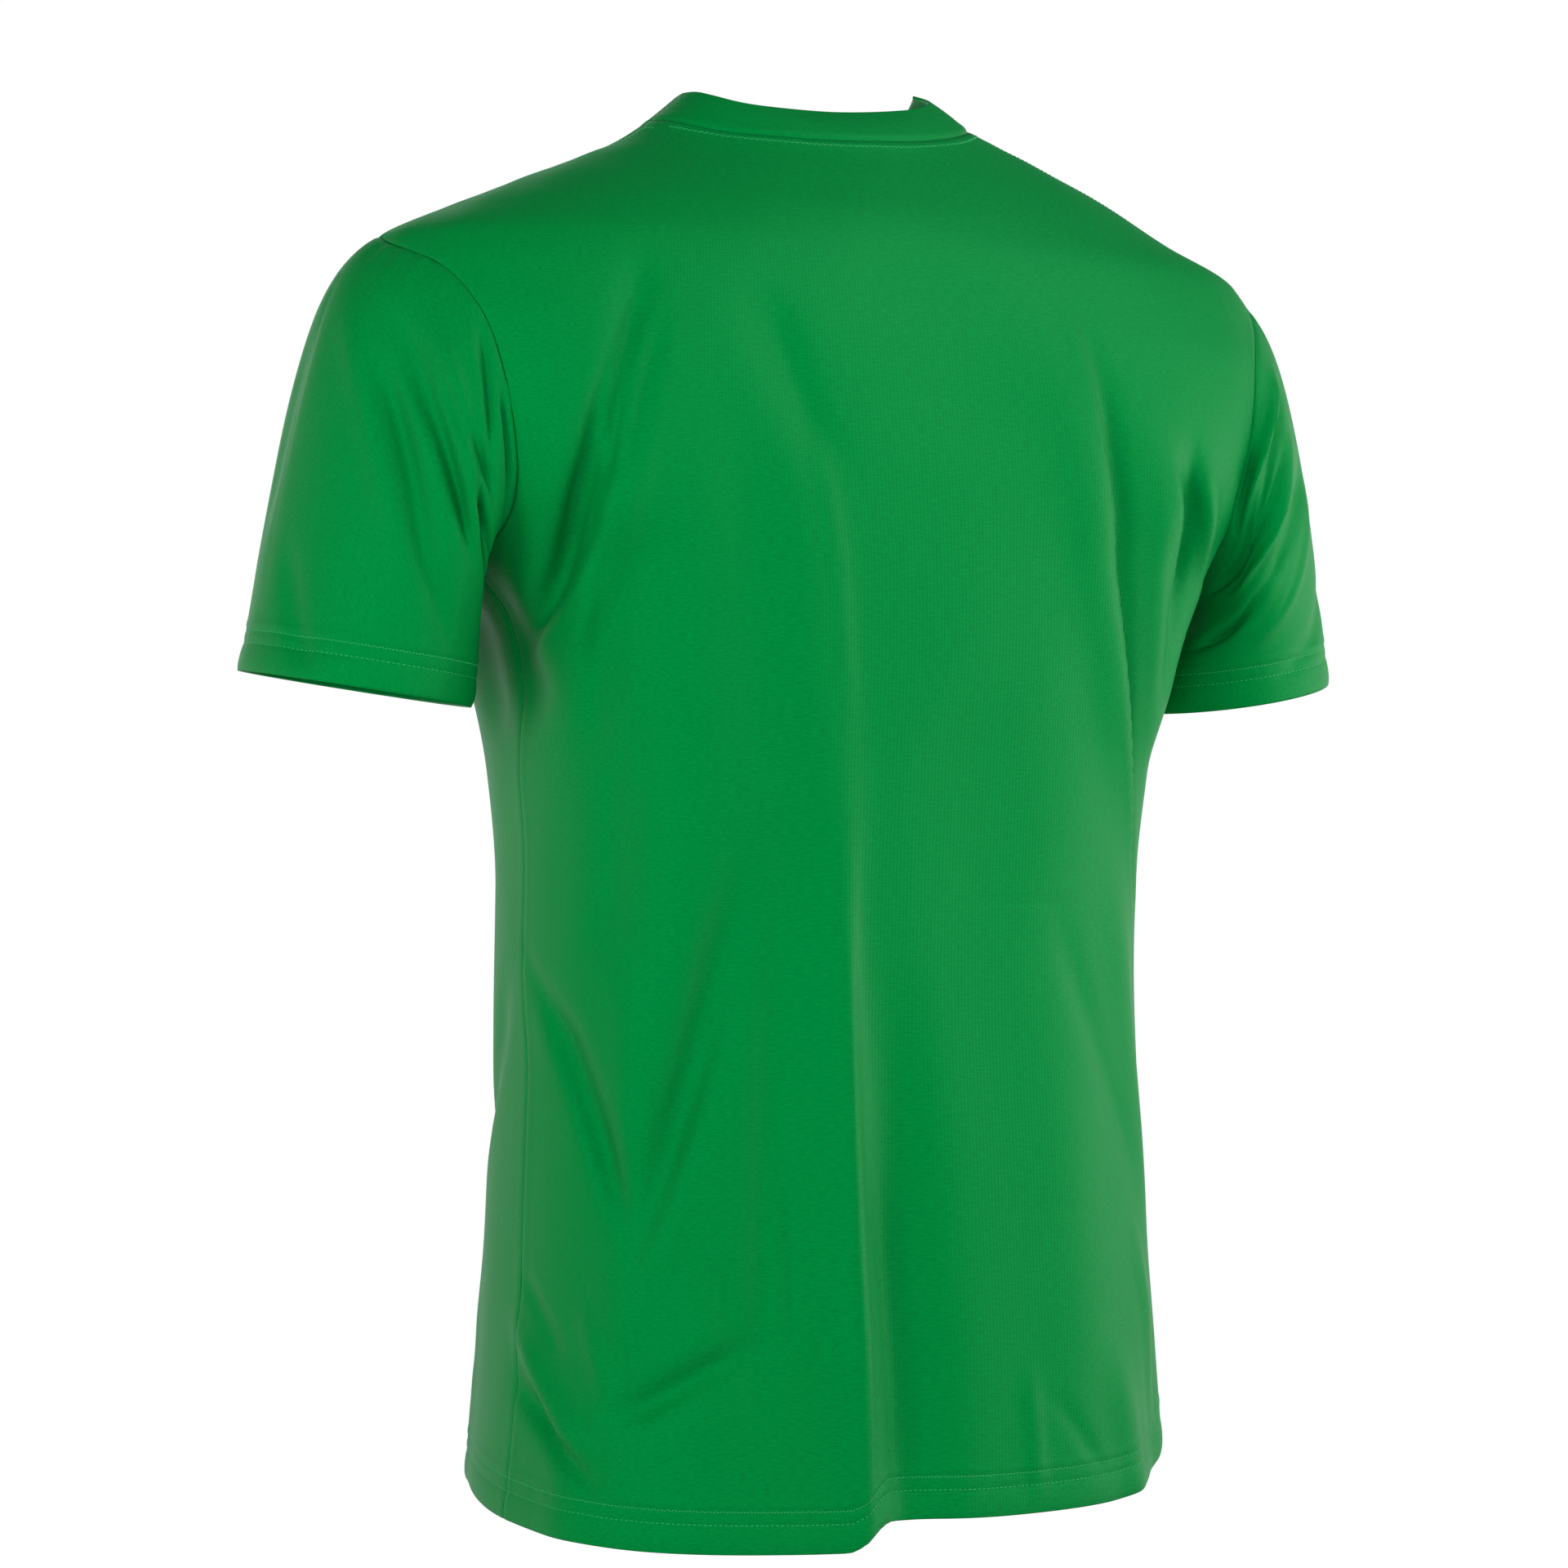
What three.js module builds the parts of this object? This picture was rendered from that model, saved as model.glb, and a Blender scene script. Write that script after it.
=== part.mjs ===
// A short-sleeved football jersey in its worn form, with no wearer.
// Millimetres, +Z up. The wearer faces -Y and has the left arm at +X. The origin lies midway between
// the two high shoulder points, where the shoulders carry the jersey, so every level is given as the
// distance down from there.
// Five cut pieces are sewn together: back, front, two set-in sleeves and a folded neck band.
// Every piece is a closed wall between an outer and an inner surface, SEAM_GAP apart at the seams.
import * as THREE from "three";

// Cloth
const CLOTH = 1.4; // wall of a single layer
const HEM_ALLOWANCE = 1.0; // what the turned-up hem adds inside the wall
const BAND_CLOTH = 2.2; // the neck band is folded double
const BAND_FOLD = { share: 0.6, inset: 0.4 }; // its folded top edge is thinner and drawn in
const SEAM_GAP = 0.3;
const HEM_HEIGHT = 24; // body hem, from its edge to its upper row of stitches
const CUFF_HEIGHT = 20; // the same on a sleeve
const HEM_STEP = 2; // height over which the turned hem ends on the inside
const FOLD_FADE = 0.35; // share of a fold's length over which each end fades

// Steps between stations along each seam, shared by the pieces that meet there
const SIDE_STEPS = 20;
const ARMHOLE_STEPS = 14;
const SHOULDER_STEPS = 8;
const BACK_NECK_STEPS = 18;
const FRONT_NECK_STEPS = 20;
const SLEEVE_STEPS = 10;
const BAND_STEPS = 3;

// Sections of the body from neck to hem: half width, depth of the back and of the front from the
// middle, where that middle lies, how square the section is, how much higher the wearer's right side
// hangs than the middle, and how far the whole section is shifted to the wearer's right. Above the
// shoulder points a section ends on the shoulder ridge.
const BODY_SECTIONS = [
  { down: -14, half: 72, back: 42, front: 40, middle: -14, square: 0.0, lean: 2.6, shift: 0 },
  { down: 0, half: 90, back: 51, front: 50, middle: -14, square: 0.0, lean: 3, shift: 0 },
  { down: 11, half: 111, back: 55, front: 56, middle: -13, square: 0.0, lean: 5, shift: 0 },
  { down: 19, half: 130, back: 59, front: 58, middle: -11, square: 0.0, lean: 5, shift: 0 },
  { down: 38, half: 172, back: 71, front: 66, middle: -6, square: 0.01, lean: 3, shift: 0 },
  { down: 57, half: 209, back: 83, front: 76, middle: -2, square: 0.02, lean: -0.7, shift: 0 },
  { down: 76, half: 246, back: 92, front: 84, middle: 1, square: 0.03, lean: -2, shift: 0 },
  { down: 95, half: 255, back: 99, front: 92, middle: 2, square: 0.04, lean: -3, shift: 0 },
  { down: 120, half: 260, back: 107, front: 102, middle: 2, square: 0.05, lean: -2, shift: 0 },
  { down: 160, half: 252, back: 115, front: 115, middle: 1, square: 0.06, lean: -1, shift: 0 },
  { down: 200, half: 230, back: 120, front: 126, middle: 0, square: 0.06, lean: 0, shift: 0.5 },
  { down: 240, half: 203, back: 121, front: 130, middle: 0, square: 0.05, lean: 0, shift: 1.5 },
  { down: 290, half: 185, back: 119, front: 130, middle: 0, square: 0.05, lean: 0, shift: 2.5 },
  { down: 340, half: 174, back: 115, front: 127, middle: 0, square: 0.05, lean: 0, shift: 2.5 },
  { down: 400, half: 168.5, back: 113, front: 123, middle: 0, square: 0.05, lean: 0, shift: 1.5 },
  { down: 470, half: 169, back: 115, front: 121, middle: 0, square: 0.05, lean: 0, shift: 0 },
  { down: 560, half: 173, back: 119, front: 121, middle: 0, square: 0.05, lean: 0, shift: 0 },
  { down: 640, half: 178, back: 123, front: 122, middle: 0, square: 0.05, lean: 0, shift: 1 },
  { down: 700, half: 183, back: 125, front: 122, middle: 0, square: 0.05, lean: 0, shift: 0.5 },
  { down: 750, half: 187, back: 126, front: 123, middle: 0, square: 0.05, lean: 0, shift: 0 },
];

// Level of the hem round the body, by the bearing from the centre back
const HEM_LEVELS = [
  { bearing: -180, down: 702 },
  { bearing: -120, down: 705 },
  { bearing: -90, down: 715 },
  { bearing: -70, down: 720 },
  { bearing: -50, down: 724 },
  { bearing: -25, down: 727 },
  { bearing: -13, down: 728 },
  { bearing: -6, down: 714 },
  { bearing: 10, down: 715 },
  { bearing: 30, down: 713 },
  { bearing: 50, down: 702 },
  { bearing: 70, down: 685 },
  { bearing: 90, down: 676 },
  { bearing: 120, down: 682 },
  { bearing: 150, down: 694 },
  { bearing: 180, down: 702 },
];

// Bearing of the side seams down the body. On the wearer's left the seam wanders towards the back.
const SIDE_SEAMS = [
  { down: 240, left: 85, right: 90 },
  { down: 300, left: 85, right: 91 },
  { down: 350, left: 90, right: 92 },
  { down: 430, left: 91, right: 93 },
  { down: 500, left: 87, right: 95 },
  { down: 620, left: 86, right: 95 },
  { down: 680, left: 86, right: 93 },
  { down: 740, left: 87, right: 91 },
];

// Armhole seam as it is cut in the back and in the front, from the armpit up to the shoulder point
const ARMPIT = { down: 240 };
const SHOULDER_POINT = { down: 76 };
const BACK_ARMHOLE = [
  { bearing: 78, down: 232 },
  { bearing: 62, down: 212 },
  { bearing: 53, down: 180 },
  { bearing: 51, down: 146 },
  { bearing: 55, down: 114 },
  { bearing: 66, down: 93 },
];
const FRONT_ARMHOLE = [
  { bearing: 102, down: 231 },
  { bearing: 115, down: 214 },
  { bearing: 124, down: 182 },
  { bearing: 126, down: 146 },
  { bearing: 121, down: 112 },
  { bearing: 107, down: 87 },
];

// Shoulder seams: how far behind the ridge each one lies, from the neck out to the armhole
const HIGH_SHOULDER = { down: 0 };
const SHOULDER_SEAMS = [
  { down: 0, left: -2, right: 8 },
  { down: 20, left: -4, right: 16 },
  { down: 57, left: -5, right: 18 },
  { down: 76, left: -2, right: 12 },
];

// Neck seam between the high shoulder points, on the back and on the front: distance from the middle,
// to the wearer's right, and level
const BACK_NECK = [
  { across: -88, down: 2 },
  { across: -82, down: 5 },
  { across: -54, down: 12 },
  { across: 0, down: 15 },
  { across: 54, down: 12 },
  { across: 82, down: 5 },
  { across: 88, down: 2 },
];
const FRONT_NECK = [
  { across: -90, down: 8 },
  { across: -84, down: 26 },
  { across: -70, down: 48 },
  { across: -42, down: 70 },
  { across: 0, down: 80 },
  { across: 42, down: 70 },
  { across: 70, down: 48 },
  { across: 84, down: 26 },
  { across: 90, down: 8 },
];

// How far the top of the neck band leans in and rises from the seam, by the bearing
const NECK_MIDDLE = { x: 0, y: -14 };
const BAND_LEAN = [
  { bearing: -180, inward: 12, rise: 18, bulge: 1.5 },
  { bearing: -130, inward: 17, rise: 15, bulge: 1.5 },
  { bearing: -90, inward: 19, rise: 16, bulge: -0.5 },
  { bearing: -45, inward: 16, rise: 17, bulge: 1.0 },
  { bearing: 0, inward: 16, rise: 17, bulge: 1.5 },
  { bearing: 45, inward: 19, rise: 16, bulge: 1 },
  { bearing: 90, inward: 27, rise: 17, bulge: 0 },
  { bearing: 130, inward: 17, rise: 15, bulge: 1.5 },
  { bearing: 180, inward: 12, rise: 18, bulge: 1.5 },
];

// Folds, drawn on the cloth laid flat. Each runs from its head to its foot, bowed sideways. across is
// measured from the centre line of the panel, to the wearer's right on the back and to the wearer's
// left on the front. A ridge has a positive height, a trough a negative one. steep above 1 makes the
// side towards growing across fall more sharply.
const BACK_FOLDS = [
  // From the left shoulder blade into the armpit
  { fromAcross: -88, fromDown: 74, toAcross: -106, toDown: 232, bow: 3, width: 7, height: -4, steep: 1 },
  { fromAcross: -97, fromDown: 148, toAcross: -180, toDown: 290, bow: 16, width: 9, height: -9, steep: 1.1 },
  { fromAcross: -88, fromDown: 150, toAcross: -148, toDown: 304, bow: 13, width: 8, height: 4.5, steep: 1 },
  { fromAcross: -98, fromDown: 206, toAcross: -130, toDown: 350, bow: 4, width: 10, height: -3, steep: 1 },
  { fromAcross: -192, fromDown: 236, toAcross: -150, toDown: 326, bow: 0, width: 14, height: -8, steep: 1 },
  // Long upright fold down to the hem beside the centre, and the soft folds above it
  { fromAcross: -27, fromDown: 290, toAcross: -20, toDown: 800, bow: -1, width: 8, height: 6, steep: 1.4 },
  { fromAcross: -12, fromDown: 400, toAcross: 0, toDown: 810, bow: 0, width: 9, height: -7, steep: 1 },
  { fromAcross: -38, fromDown: 130, toAcross: -22, toDown: 420, bow: -5, width: 9, height: 2.5, steep: 1 },
  { fromAcross: -44, fromDown: 320, toAcross: -58, toDown: 720, bow: 4, width: 10, height: -3.5, steep: 1 },
  { fromAcross: -52, fromDown: 90, toAcross: -26, toDown: 210, bow: 0, width: 8, height: -3, steep: 1 },
  { fromAcross: -56, fromDown: 140, toAcross: -54, toDown: 370, bow: 0, width: 10, height: -2, steep: 1 },
  // Long lapped crease down the right
  { fromAcross: 46, fromDown: 100, toAcross: 98, toDown: 410, bow: -10, width: 10, height: 4.5, steep: 2.4 },
  { fromAcross: 57, fromDown: 116, toAcross: 110, toDown: 400, bow: -10, width: 9, height: -4, steep: 0.8 },
  { fromAcross: 92, fromDown: 154, toAcross: 116, toDown: 292, bow: 2, width: 7, height: -5, steep: 1 },
  { fromAcross: 79, fromDown: 156, toAcross: 104, toDown: 336, bow: 0, width: 7, height: 3.5, steep: 1 },
  { fromAcross: 100, fromDown: 168, toAcross: 132, toDown: 266, bow: 5, width: 7, height: 3, steep: 1 },
  { fromAcross: 166, fromDown: 186, toAcross: 95, toDown: 352, bow: -4, width: 11, height: 5, steep: 1 },
  { fromAcross: 76, fromDown: 370, toAcross: 110, toDown: 600, bow: -4, width: 9, height: 3, steep: 1 },
  { fromAcross: 66, fromDown: 620, toAcross: 86, toDown: 760, bow: 0, width: 8, height: 3.5, steep: 1 },
  { fromAcross: 98, fromDown: 610, toAcross: 108, toDown: 780, bow: 0, width: 11, height: -3.5, steep: 1 },
  { fromAcross: 120, fromDown: 396, toAcross: 142, toDown: 610, bow: 3, width: 14, height: -4, steep: 1 },
  // Drag lines that meet above the left hip, and the creases below them
  { fromAcross: -160, fromDown: 436, toAcross: -102, toDown: 574, bow: 8, width: 8, height: -5.5, steep: 1 },
  { fromAcross: -56, fromDown: 384, toAcross: -96, toDown: 558, bow: 7, width: 12, height: -6, steep: 1 },
  { fromAcross: -102, fromDown: 430, toAcross: -104, toDown: 566, bow: 3, width: 11, height: 3.5, steep: 1 },
  { fromAcross: -92, fromDown: 548, toAcross: -112, toDown: 640, bow: 0, width: 13, height: 3, steep: 1 },
  { fromAcross: -44, fromDown: 618, toAcross: -120, toDown: 664, bow: 3, width: 8, height: -4, steep: 1 },
  { fromAcross: -180, fromDown: 606, toAcross: -118, toDown: 700, bow: 4, width: 7, height: 3.5, steep: 1 },
  { fromAcross: -178, fromDown: 640, toAcross: -112, toDown: 702, bow: 2, width: 7, height: -4, steep: 1 },
  // Soft hang of the cloth
  { fromAcross: -76, fromDown: 240, toAcross: -84, toDown: 480, bow: 3, width: 18, height: 3, steep: 1 },
  { fromAcross: -112, fromDown: 310, toAcross: -114, toDown: 450, bow: 2, width: 12, height: -2.5, steep: 1 },
  { fromAcross: 18, fromDown: 260, toAcross: 22, toDown: 560, bow: -4, width: 18, height: -2.5, steep: 1 },
  { fromAcross: 48, fromDown: 430, toAcross: 56, toDown: 790, bow: 0, width: 18, height: 3, steep: 1 },
  { fromAcross: -132, fromDown: 640, toAcross: -142, toDown: 800, bow: 0, width: 14, height: 3, steep: 1 },
  { fromAcross: -6, fromDown: 50, toAcross: 16, toDown: 200, bow: 6, width: 22, height: -2.5, steep: 1 },
];
const FRONT_FOLDS = [
  // Into both armpits from the chest
  { fromAcross: 88, fromDown: 118, toAcross: 180, toDown: 282, bow: -24, width: 11, height: -8, steep: 1 },
  { fromAcross: 80, fromDown: 160, toAcross: 160, toDown: 292, bow: -16, width: 9, height: 4, steep: 1 },
  { fromAcross: -84, fromDown: 128, toAcross: -176, toDown: 276, bow: 22, width: 11, height: -7, steep: 1 },
  { fromAcross: -74, fromDown: 150, toAcross: -150, toDown: 286, bow: 14, width: 10, height: 4, steep: 1 },
  { fromAcross: 190, fromDown: 240, toAcross: 156, toDown: 330, bow: 0, width: 13, height: -6, steep: 1 },
  // Uprights from the chest to the hem
  { fromAcross: 34, fromDown: 330, toAcross: 26, toDown: 790, bow: 0, width: 12, height: 5, steep: 1.4 },
  { fromAcross: 48, fromDown: 420, toAcross: 44, toDown: 800, bow: 0, width: 10, height: -5, steep: 1 },
  { fromAcross: -58, fromDown: 270, toAcross: -86, toDown: 640, bow: -8, width: 12, height: 4, steep: 0.6 },
  { fromAcross: -74, fromDown: 280, toAcross: -102, toDown: 640, bow: -8, width: 9, height: -4, steep: 1 },
  { fromAcross: -20, fromDown: 520, toAcross: -16, toDown: 790, bow: 0, width: 13, height: 4, steep: 1 },
  { fromAcross: -44, fromDown: 560, toAcross: -40, toDown: 790, bow: 0, width: 12, height: -4, steep: 1 },
  { fromAcross: 110, fromDown: 560, toAcross: 118, toDown: 790, bow: 0, width: 13, height: 4, steep: 1 },
  // Drag lines towards the hips
  { fromAcross: -160, fromDown: 450, toAcross: -96, toDown: 590, bow: 6, width: 10, height: -4, steep: 1 },
  { fromAcross: 156, fromDown: 430, toAcross: 92, toDown: 560, bow: 6, width: 10, height: -4, steep: 1 },
  { fromAcross: 60, fromDown: 590, toAcross: 120, toDown: 650, bow: 0, width: 9, height: -3, steep: 1 },
  // Soft hang below the neck
  { fromAcross: 6, fromDown: 110, toAcross: -4, toDown: 300, bow: 6, width: 26, height: -3, steep: 1 },
  { fromAcross: 60, fromDown: 210, toAcross: 70, toDown: 470, bow: 6, width: 20, height: 3, steep: 1 },
];

// Rim of each sleeve's hem: where its middle lies, its half widths, how much its outer side and its
// front hang higher, and the way that the cloth runs there
const SLEEVE_HEMS = {
  left: { x: 259, y: -5, down: 300, halfX: 57, halfY: 66, tilt: 8, pitch: 5, out: 0.3 },
  right: { x: 252, y: -5, down: 295, halfX: 56, halfY: 66, tilt: 11, pitch: 5, out: 0.22 },
};
// How the cloth leaves the armhole, by the turn round the sleeve: shares outward, back and down, and
// the pull along it, which makes the bend over the shoulder fuller. Over the shoulder the right sleeve
// turns down sooner than the left.
const SLEEVE_START = [
  { turn: -180, out: 0.78, back: 0.0, leftDown: 0.62, rightDown: 0.62, leftPull: 80, rightPull: 90 },
  { turn: -130, out: 0.68, back: -0.2, leftDown: 0.7, rightDown: 0.7, leftPull: 100, rightPull: 110 },
  { turn: -90, out: 0.55, back: -0.25, leftDown: 0.8, rightDown: 0.8, leftPull: 120, rightPull: 120 },
  { turn: 0, out: 0.96, back: 0, leftDown: 0.18, rightDown: 0.42, leftPull: 136, rightPull: 100 },
  { turn: 90, out: 0.55, back: 0.25, leftDown: 0.8, rightDown: 0.8, leftPull: 120, rightPull: 120 },
  { turn: 130, out: 0.68, back: 0.2, leftDown: 0.7, rightDown: 0.7, leftPull: 100, rightPull: 110 },
  { turn: 180, out: 0.78, back: 0.0, leftDown: 0.62, rightDown: 0.62, leftPull: 80, rightPull: 90 },
];

// Folds of a sleeve, by the turn round it from the shoulder over the back, and the share of the way
// down from the armhole to the hem
const SLEEVE_FOLDS = {
  left: [
    { fromTurn: 20, fromShare: 0.22, toTurn: 118, toShare: 0.86, bow: 3, width: 7, height: -4, steep: 1 },
    { fromTurn: 8, fromShare: 0.18, toTurn: 74, toShare: 0.7, bow: 2, width: 8, height: 2.5, steep: 1 },
    { fromTurn: 28, fromShare: 0.18, toTurn: 120, toShare: 0.54, bow: 0, width: 6, height: -5, steep: 1 },
    { fromTurn: 46, fromShare: 0.14, toTurn: 118, toShare: 0.42, bow: 0, width: 6, height: 3.5, steep: 1 },
    { fromTurn: 58, fromShare: 0.29, toTurn: 124, toShare: 0.24, bow: 2, width: 5, height: -4, steep: 1 },
    { fromTurn: 90, fromShare: 0.3, toTurn: 146, toShare: 0.44, bow: 0, width: 6, height: -6, steep: 1 },
    { fromTurn: 62, fromShare: 0, toTurn: 106, toShare: 0.24, bow: 0, width: 5, height: -3, steep: 1 },
    { fromTurn: 84, fromShare: 0.03, toTurn: 142, toShare: 0.1, bow: 0, width: 5, height: -4, steep: 1 },
    { fromTurn: -4, fromShare: 0.24, toTurn: -14, toShare: 0.74, bow: 0, width: 9, height: -2.5, steep: 1 },
    { fromTurn: 10, fromShare: 0.66, toTurn: 42, toShare: 1, bow: 0, width: 7, height: -2.5, steep: 1 },
    { fromTurn: -30, fromShare: 0.2, toTurn: -112, toShare: 0.7, bow: 4, width: 8, height: -4, steep: 1 },
    { fromTurn: -64, fromShare: 0.12, toTurn: -146, toShare: 0.54, bow: 4, width: 7, height: -4, steep: 1 },
    { fromTurn: -50, fromShare: 0.44, toTurn: -104, toShare: 0.96, bow: 4, width: 9, height: 3, steep: 1 },
  ],
  right: [
    { fromTurn: 84, fromShare: 0.03, toTurn: 128, toShare: 0.05, bow: 0, width: 5, height: -4, steep: 1 },
    { fromTurn: 34, fromShare: 0.18, toTurn: 128, toShare: 0.02, bow: 0, width: 6, height: 3.5, steep: 1 },
    { fromTurn: 36, fromShare: 0.2, toTurn: 130, toShare: 0.22, bow: 4, width: 7, height: -4, steep: 1 },
    { fromTurn: 100, fromShare: 0.12, toTurn: 152, toShare: 0.22, bow: 0, width: 6, height: -4, steep: 1 },
    { fromTurn: 44, fromShare: 0.31, toTurn: 140, toShare: 0.34, bow: 2, width: 7, height: 4, steep: 1 },
    { fromTurn: 34, fromShare: 0.4, toTurn: 112, toShare: 0.5, bow: 0, width: 7, height: -3.5, steep: 1 },
    { fromTurn: 34, fromShare: 0.42, toTurn: 116, toShare: 0.76, bow: 0, width: 7, height: 3.5, steep: 1 },
    { fromTurn: 98, fromShare: 0.5, toTurn: 152, toShare: 0.62, bow: 0, width: 9, height: -4, steep: 1 },
    { fromTurn: 20, fromShare: 0.66, toTurn: 100, toShare: 0.92, bow: 0, width: 7, height: -2.5, steep: 1 },
    { fromTurn: -26, fromShare: 0.2, toTurn: -116, toShare: 0.66, bow: 4, width: 8, height: -4, steep: 1 },
    { fromTurn: -60, fromShare: 0.12, toTurn: -140, toShare: 0.5, bow: 4, width: 7, height: -4, steep: 1 },
    { fromTurn: -40, fromShare: 0.5, toTurn: -110, toShare: 0.96, bow: 4, width: 9, height: 3, steep: 1 },
  ],
};
const ROUND_SLEEVE = 1.1; // millimetres of cloth per degree of turn
const DOWN_SLEEVE = 200; // millimetres of cloth from armhole to hem

const radians = THREE.MathUtils.degToRad;

// Smooth value of a column between the rows of a table, with no overshoot
function column(rows, key, name, at) {
  const last = rows.length - 1;
  if (at <= rows[0][key]) return rows[0][name];
  if (at >= rows[last][key]) return rows[last][name];
  let i = 0;
  while (rows[i + 1][key] < at) i += 1;
  const slope = (k) => (rows[k + 1][name] - rows[k][name]) / (rows[k + 1][key] - rows[k][key]);
  const tangent = (k) => {
    if (k === 0) return slope(0);
    if (k === last) return slope(last - 1);
    const before = slope(k - 1);
    const after = slope(k);
    return before * after <= 0 ? 0 : (2 * before * after) / (before + after);
  };
  const span = rows[i + 1][key] - rows[i][key];
  const t = (at - rows[i][key]) / span;
  const t2 = t * t;
  const t3 = t2 * t;
  return (
    (2 * t3 - 3 * t2 + 1) * rows[i][name] +
    (t3 - 2 * t2 + t) * span * tangent(i) +
    (3 * t2 - 2 * t3) * rows[i + 1][name] +
    (t3 - t2) * span * tangent(i + 1)
  );
}

const mix = (a, b, share) => a + (b - a) * share;
const bodyColumn = (name, down) => column(BODY_SECTIONS, "down", name, down);
const hemDown = (bearing) => column(HEM_LEVELS, "bearing", "down", ((bearing + 540) % 360) - 180);

// Plain body: bearing in degrees from the centre back, positive towards the wearer's right
function bodyForm(bearing, down) {
  const turn = radians(bearing);
  const square = bodyColumn("square", down);
  const half = bodyColumn("half", down);
  const depth = Math.cos(turn) >= 0 ? bodyColumn("back", down) : bodyColumn("front", down);
  const across = (1 + square) * Math.sin(turn) + square * Math.sin(3 * turn);
  const along = (1 + square) * Math.cos(turn) - square * Math.cos(3 * turn);
  const lift = bodyColumn("lean", down) * across;
  const x = -bodyColumn("shift", down) - half * across;
  return new THREE.Vector3(x, bodyColumn("middle", down) + depth * along, lift - down);
}

// Unit normal of a surface given by two parameters, pointing out
function normalOf(surface, a, b, stepA, stepB) {
  const alongA = surface(a + stepA, b).sub(surface(a - stepA, b));
  const alongB = surface(a, b + stepB).sub(surface(a, b - stepB));
  return alongB.cross(alongA).normalize();
}

const bodyNormal = (bearing, down) => normalOf(bodyForm, bearing, down, 0.5, 0.5);

const rampUp = (t) => THREE.MathUtils.smoothstep(t, 0, 1);

// Height of one fold at a place (x, y) of the flat cloth, the fold running from (x0, y0) to (x1, y1)
function foldHeight(fold, x0, y0, x1, y1, x, y) {
  const length = Math.hypot(x1 - x0, y1 - y0);
  const along = ((x - x0) * (x1 - x0) + (y - y0) * (y1 - y0)) / (length * length);
  if (along <= 0 || along >= 1) return 0;
  const off = ((x - x0) * (y1 - y0) - (y - y0) * (x1 - x0)) / length;
  const aside = off - fold.bow * 4 * along * (1 - along);
  const width = aside > 0 ? fold.width / fold.steep : fold.width;
  const taper = rampUp(along / FOLD_FADE) * rampUp((1 - along) / FOLD_FADE);
  return fold.height * taper * Math.exp(-((aside / width) ** 2));
}

function sumFolds(folds, across, down) {
  let height = 0;
  for (const f of folds) {
    height += foldHeight(f, f.fromAcross, f.fromDown, f.toAcross, f.toDown, across, down);
  }
  return height;
}

// Folds of the body at a bearing and level. The cloth lies still along the neck and shoulder seams.
function bodyFolds(bearing, down) {
  const half = bodyColumn("half", down);
  const turned = bearing < -180 ? bearing + 360 : bearing;
  const fromFront = turned < 0 ? turned + 180 : turned - 180;
  const folds = sumFolds(BACK_FOLDS, (turned / 90) * half, down);
  return folds + sumFolds(FRONT_FOLDS, (fromFront / 90) * half, down);
}

// Outer face of the body
function bodyOuter(bearing, down) {
  return bodyForm(bearing, down).addScaledVector(bodyNormal(bearing, down), bodyFolds(bearing, down));
}
const bodyOuterNormal = (bearing, down) => normalOf(bodyOuter, bearing, down, 1, 2);

// Stations at even steps of true length along a seam drawn through points of bearing and level
function evenStations(points, steps) {
  const flat = points.map((p) => new THREE.Vector3(p.bearing, p.down, 0));
  const curve = new THREE.CatmullRomCurve3(flat, false, "centripetal");
  const samples = 160;
  const marks = [];
  let length = 0;
  let before = null;
  for (let i = 0; i <= samples; i += 1) {
    const p = curve.getPoint(i / samples);
    const place = bodyForm(p.x, p.y);
    if (before) length += place.distanceTo(before);
    marks.push({ at: length, bearing: p.x, down: p.y });
    before = place;
  }
  const stations = [];
  for (let i = 0; i <= steps; i += 1) {
    const at = (length * i) / steps;
    let k = 1;
    while (k < samples && marks[k].at < at) k += 1;
    const share = (at - marks[k - 1].at) / (marks[k].at - marks[k - 1].at);
    stations.push({
      bearing: mix(marks[k - 1].bearing, marks[k].bearing, share),
      down: mix(marks[k - 1].down, marks[k].down, share),
    });
  }
  return stations;
}

// A side is "left" or "right" of the wearer. Bearings are negative on the left.
const signOf = (side) => (side === "left" ? -1 : 1);

// Bearing of the side seam and of the shoulder seam, measured as on the right
const sideBearing = (side, down) => column(SIDE_SEAMS, "down", side, down);
function shoulderBearing(side, down) {
  const behind = column(SHOULDER_SEAMS, "down", side, down);
  const depth = behind >= 0 ? bodyColumn("back", down) : bodyColumn("front", down);
  return (Math.acos(behind / depth) * 180) / Math.PI;
}

// Armhole seam from the armpit to the shoulder point
function armholeStations(side, rows) {
  const top = { bearing: shoulderBearing(side, SHOULDER_POINT.down), down: SHOULDER_POINT.down };
  const armpit = { bearing: sideBearing(side, ARMPIT.down), down: ARMPIT.down };
  const points = [armpit, ...rows, top];
  return evenStations(points.map((p) => ({ ...p, bearing: p.bearing * signOf(side) })), ARMHOLE_STEPS);
}

// Side seam from the hem to the armpit: over the turned hem and its step, then evenly
function sideStations(side) {
  const low = hemDown(signOf(side) * sideBearing(side, SIDE_SEAMS.at(-1).down));
  const stations = [];
  for (let i = 0; i < SIDE_STEPS; i += 1) {
    const above = low - HEM_HEIGHT;
    const steps = [low, above, above - HEM_STEP];
    const down = i < 3 ? steps[i] : mix(above - HEM_STEP, ARMPIT.down, (i - 2) / (SIDE_STEPS - 2));
    stations.push({ bearing: signOf(side) * sideBearing(side, down), down });
  }
  return stations;
}

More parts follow.
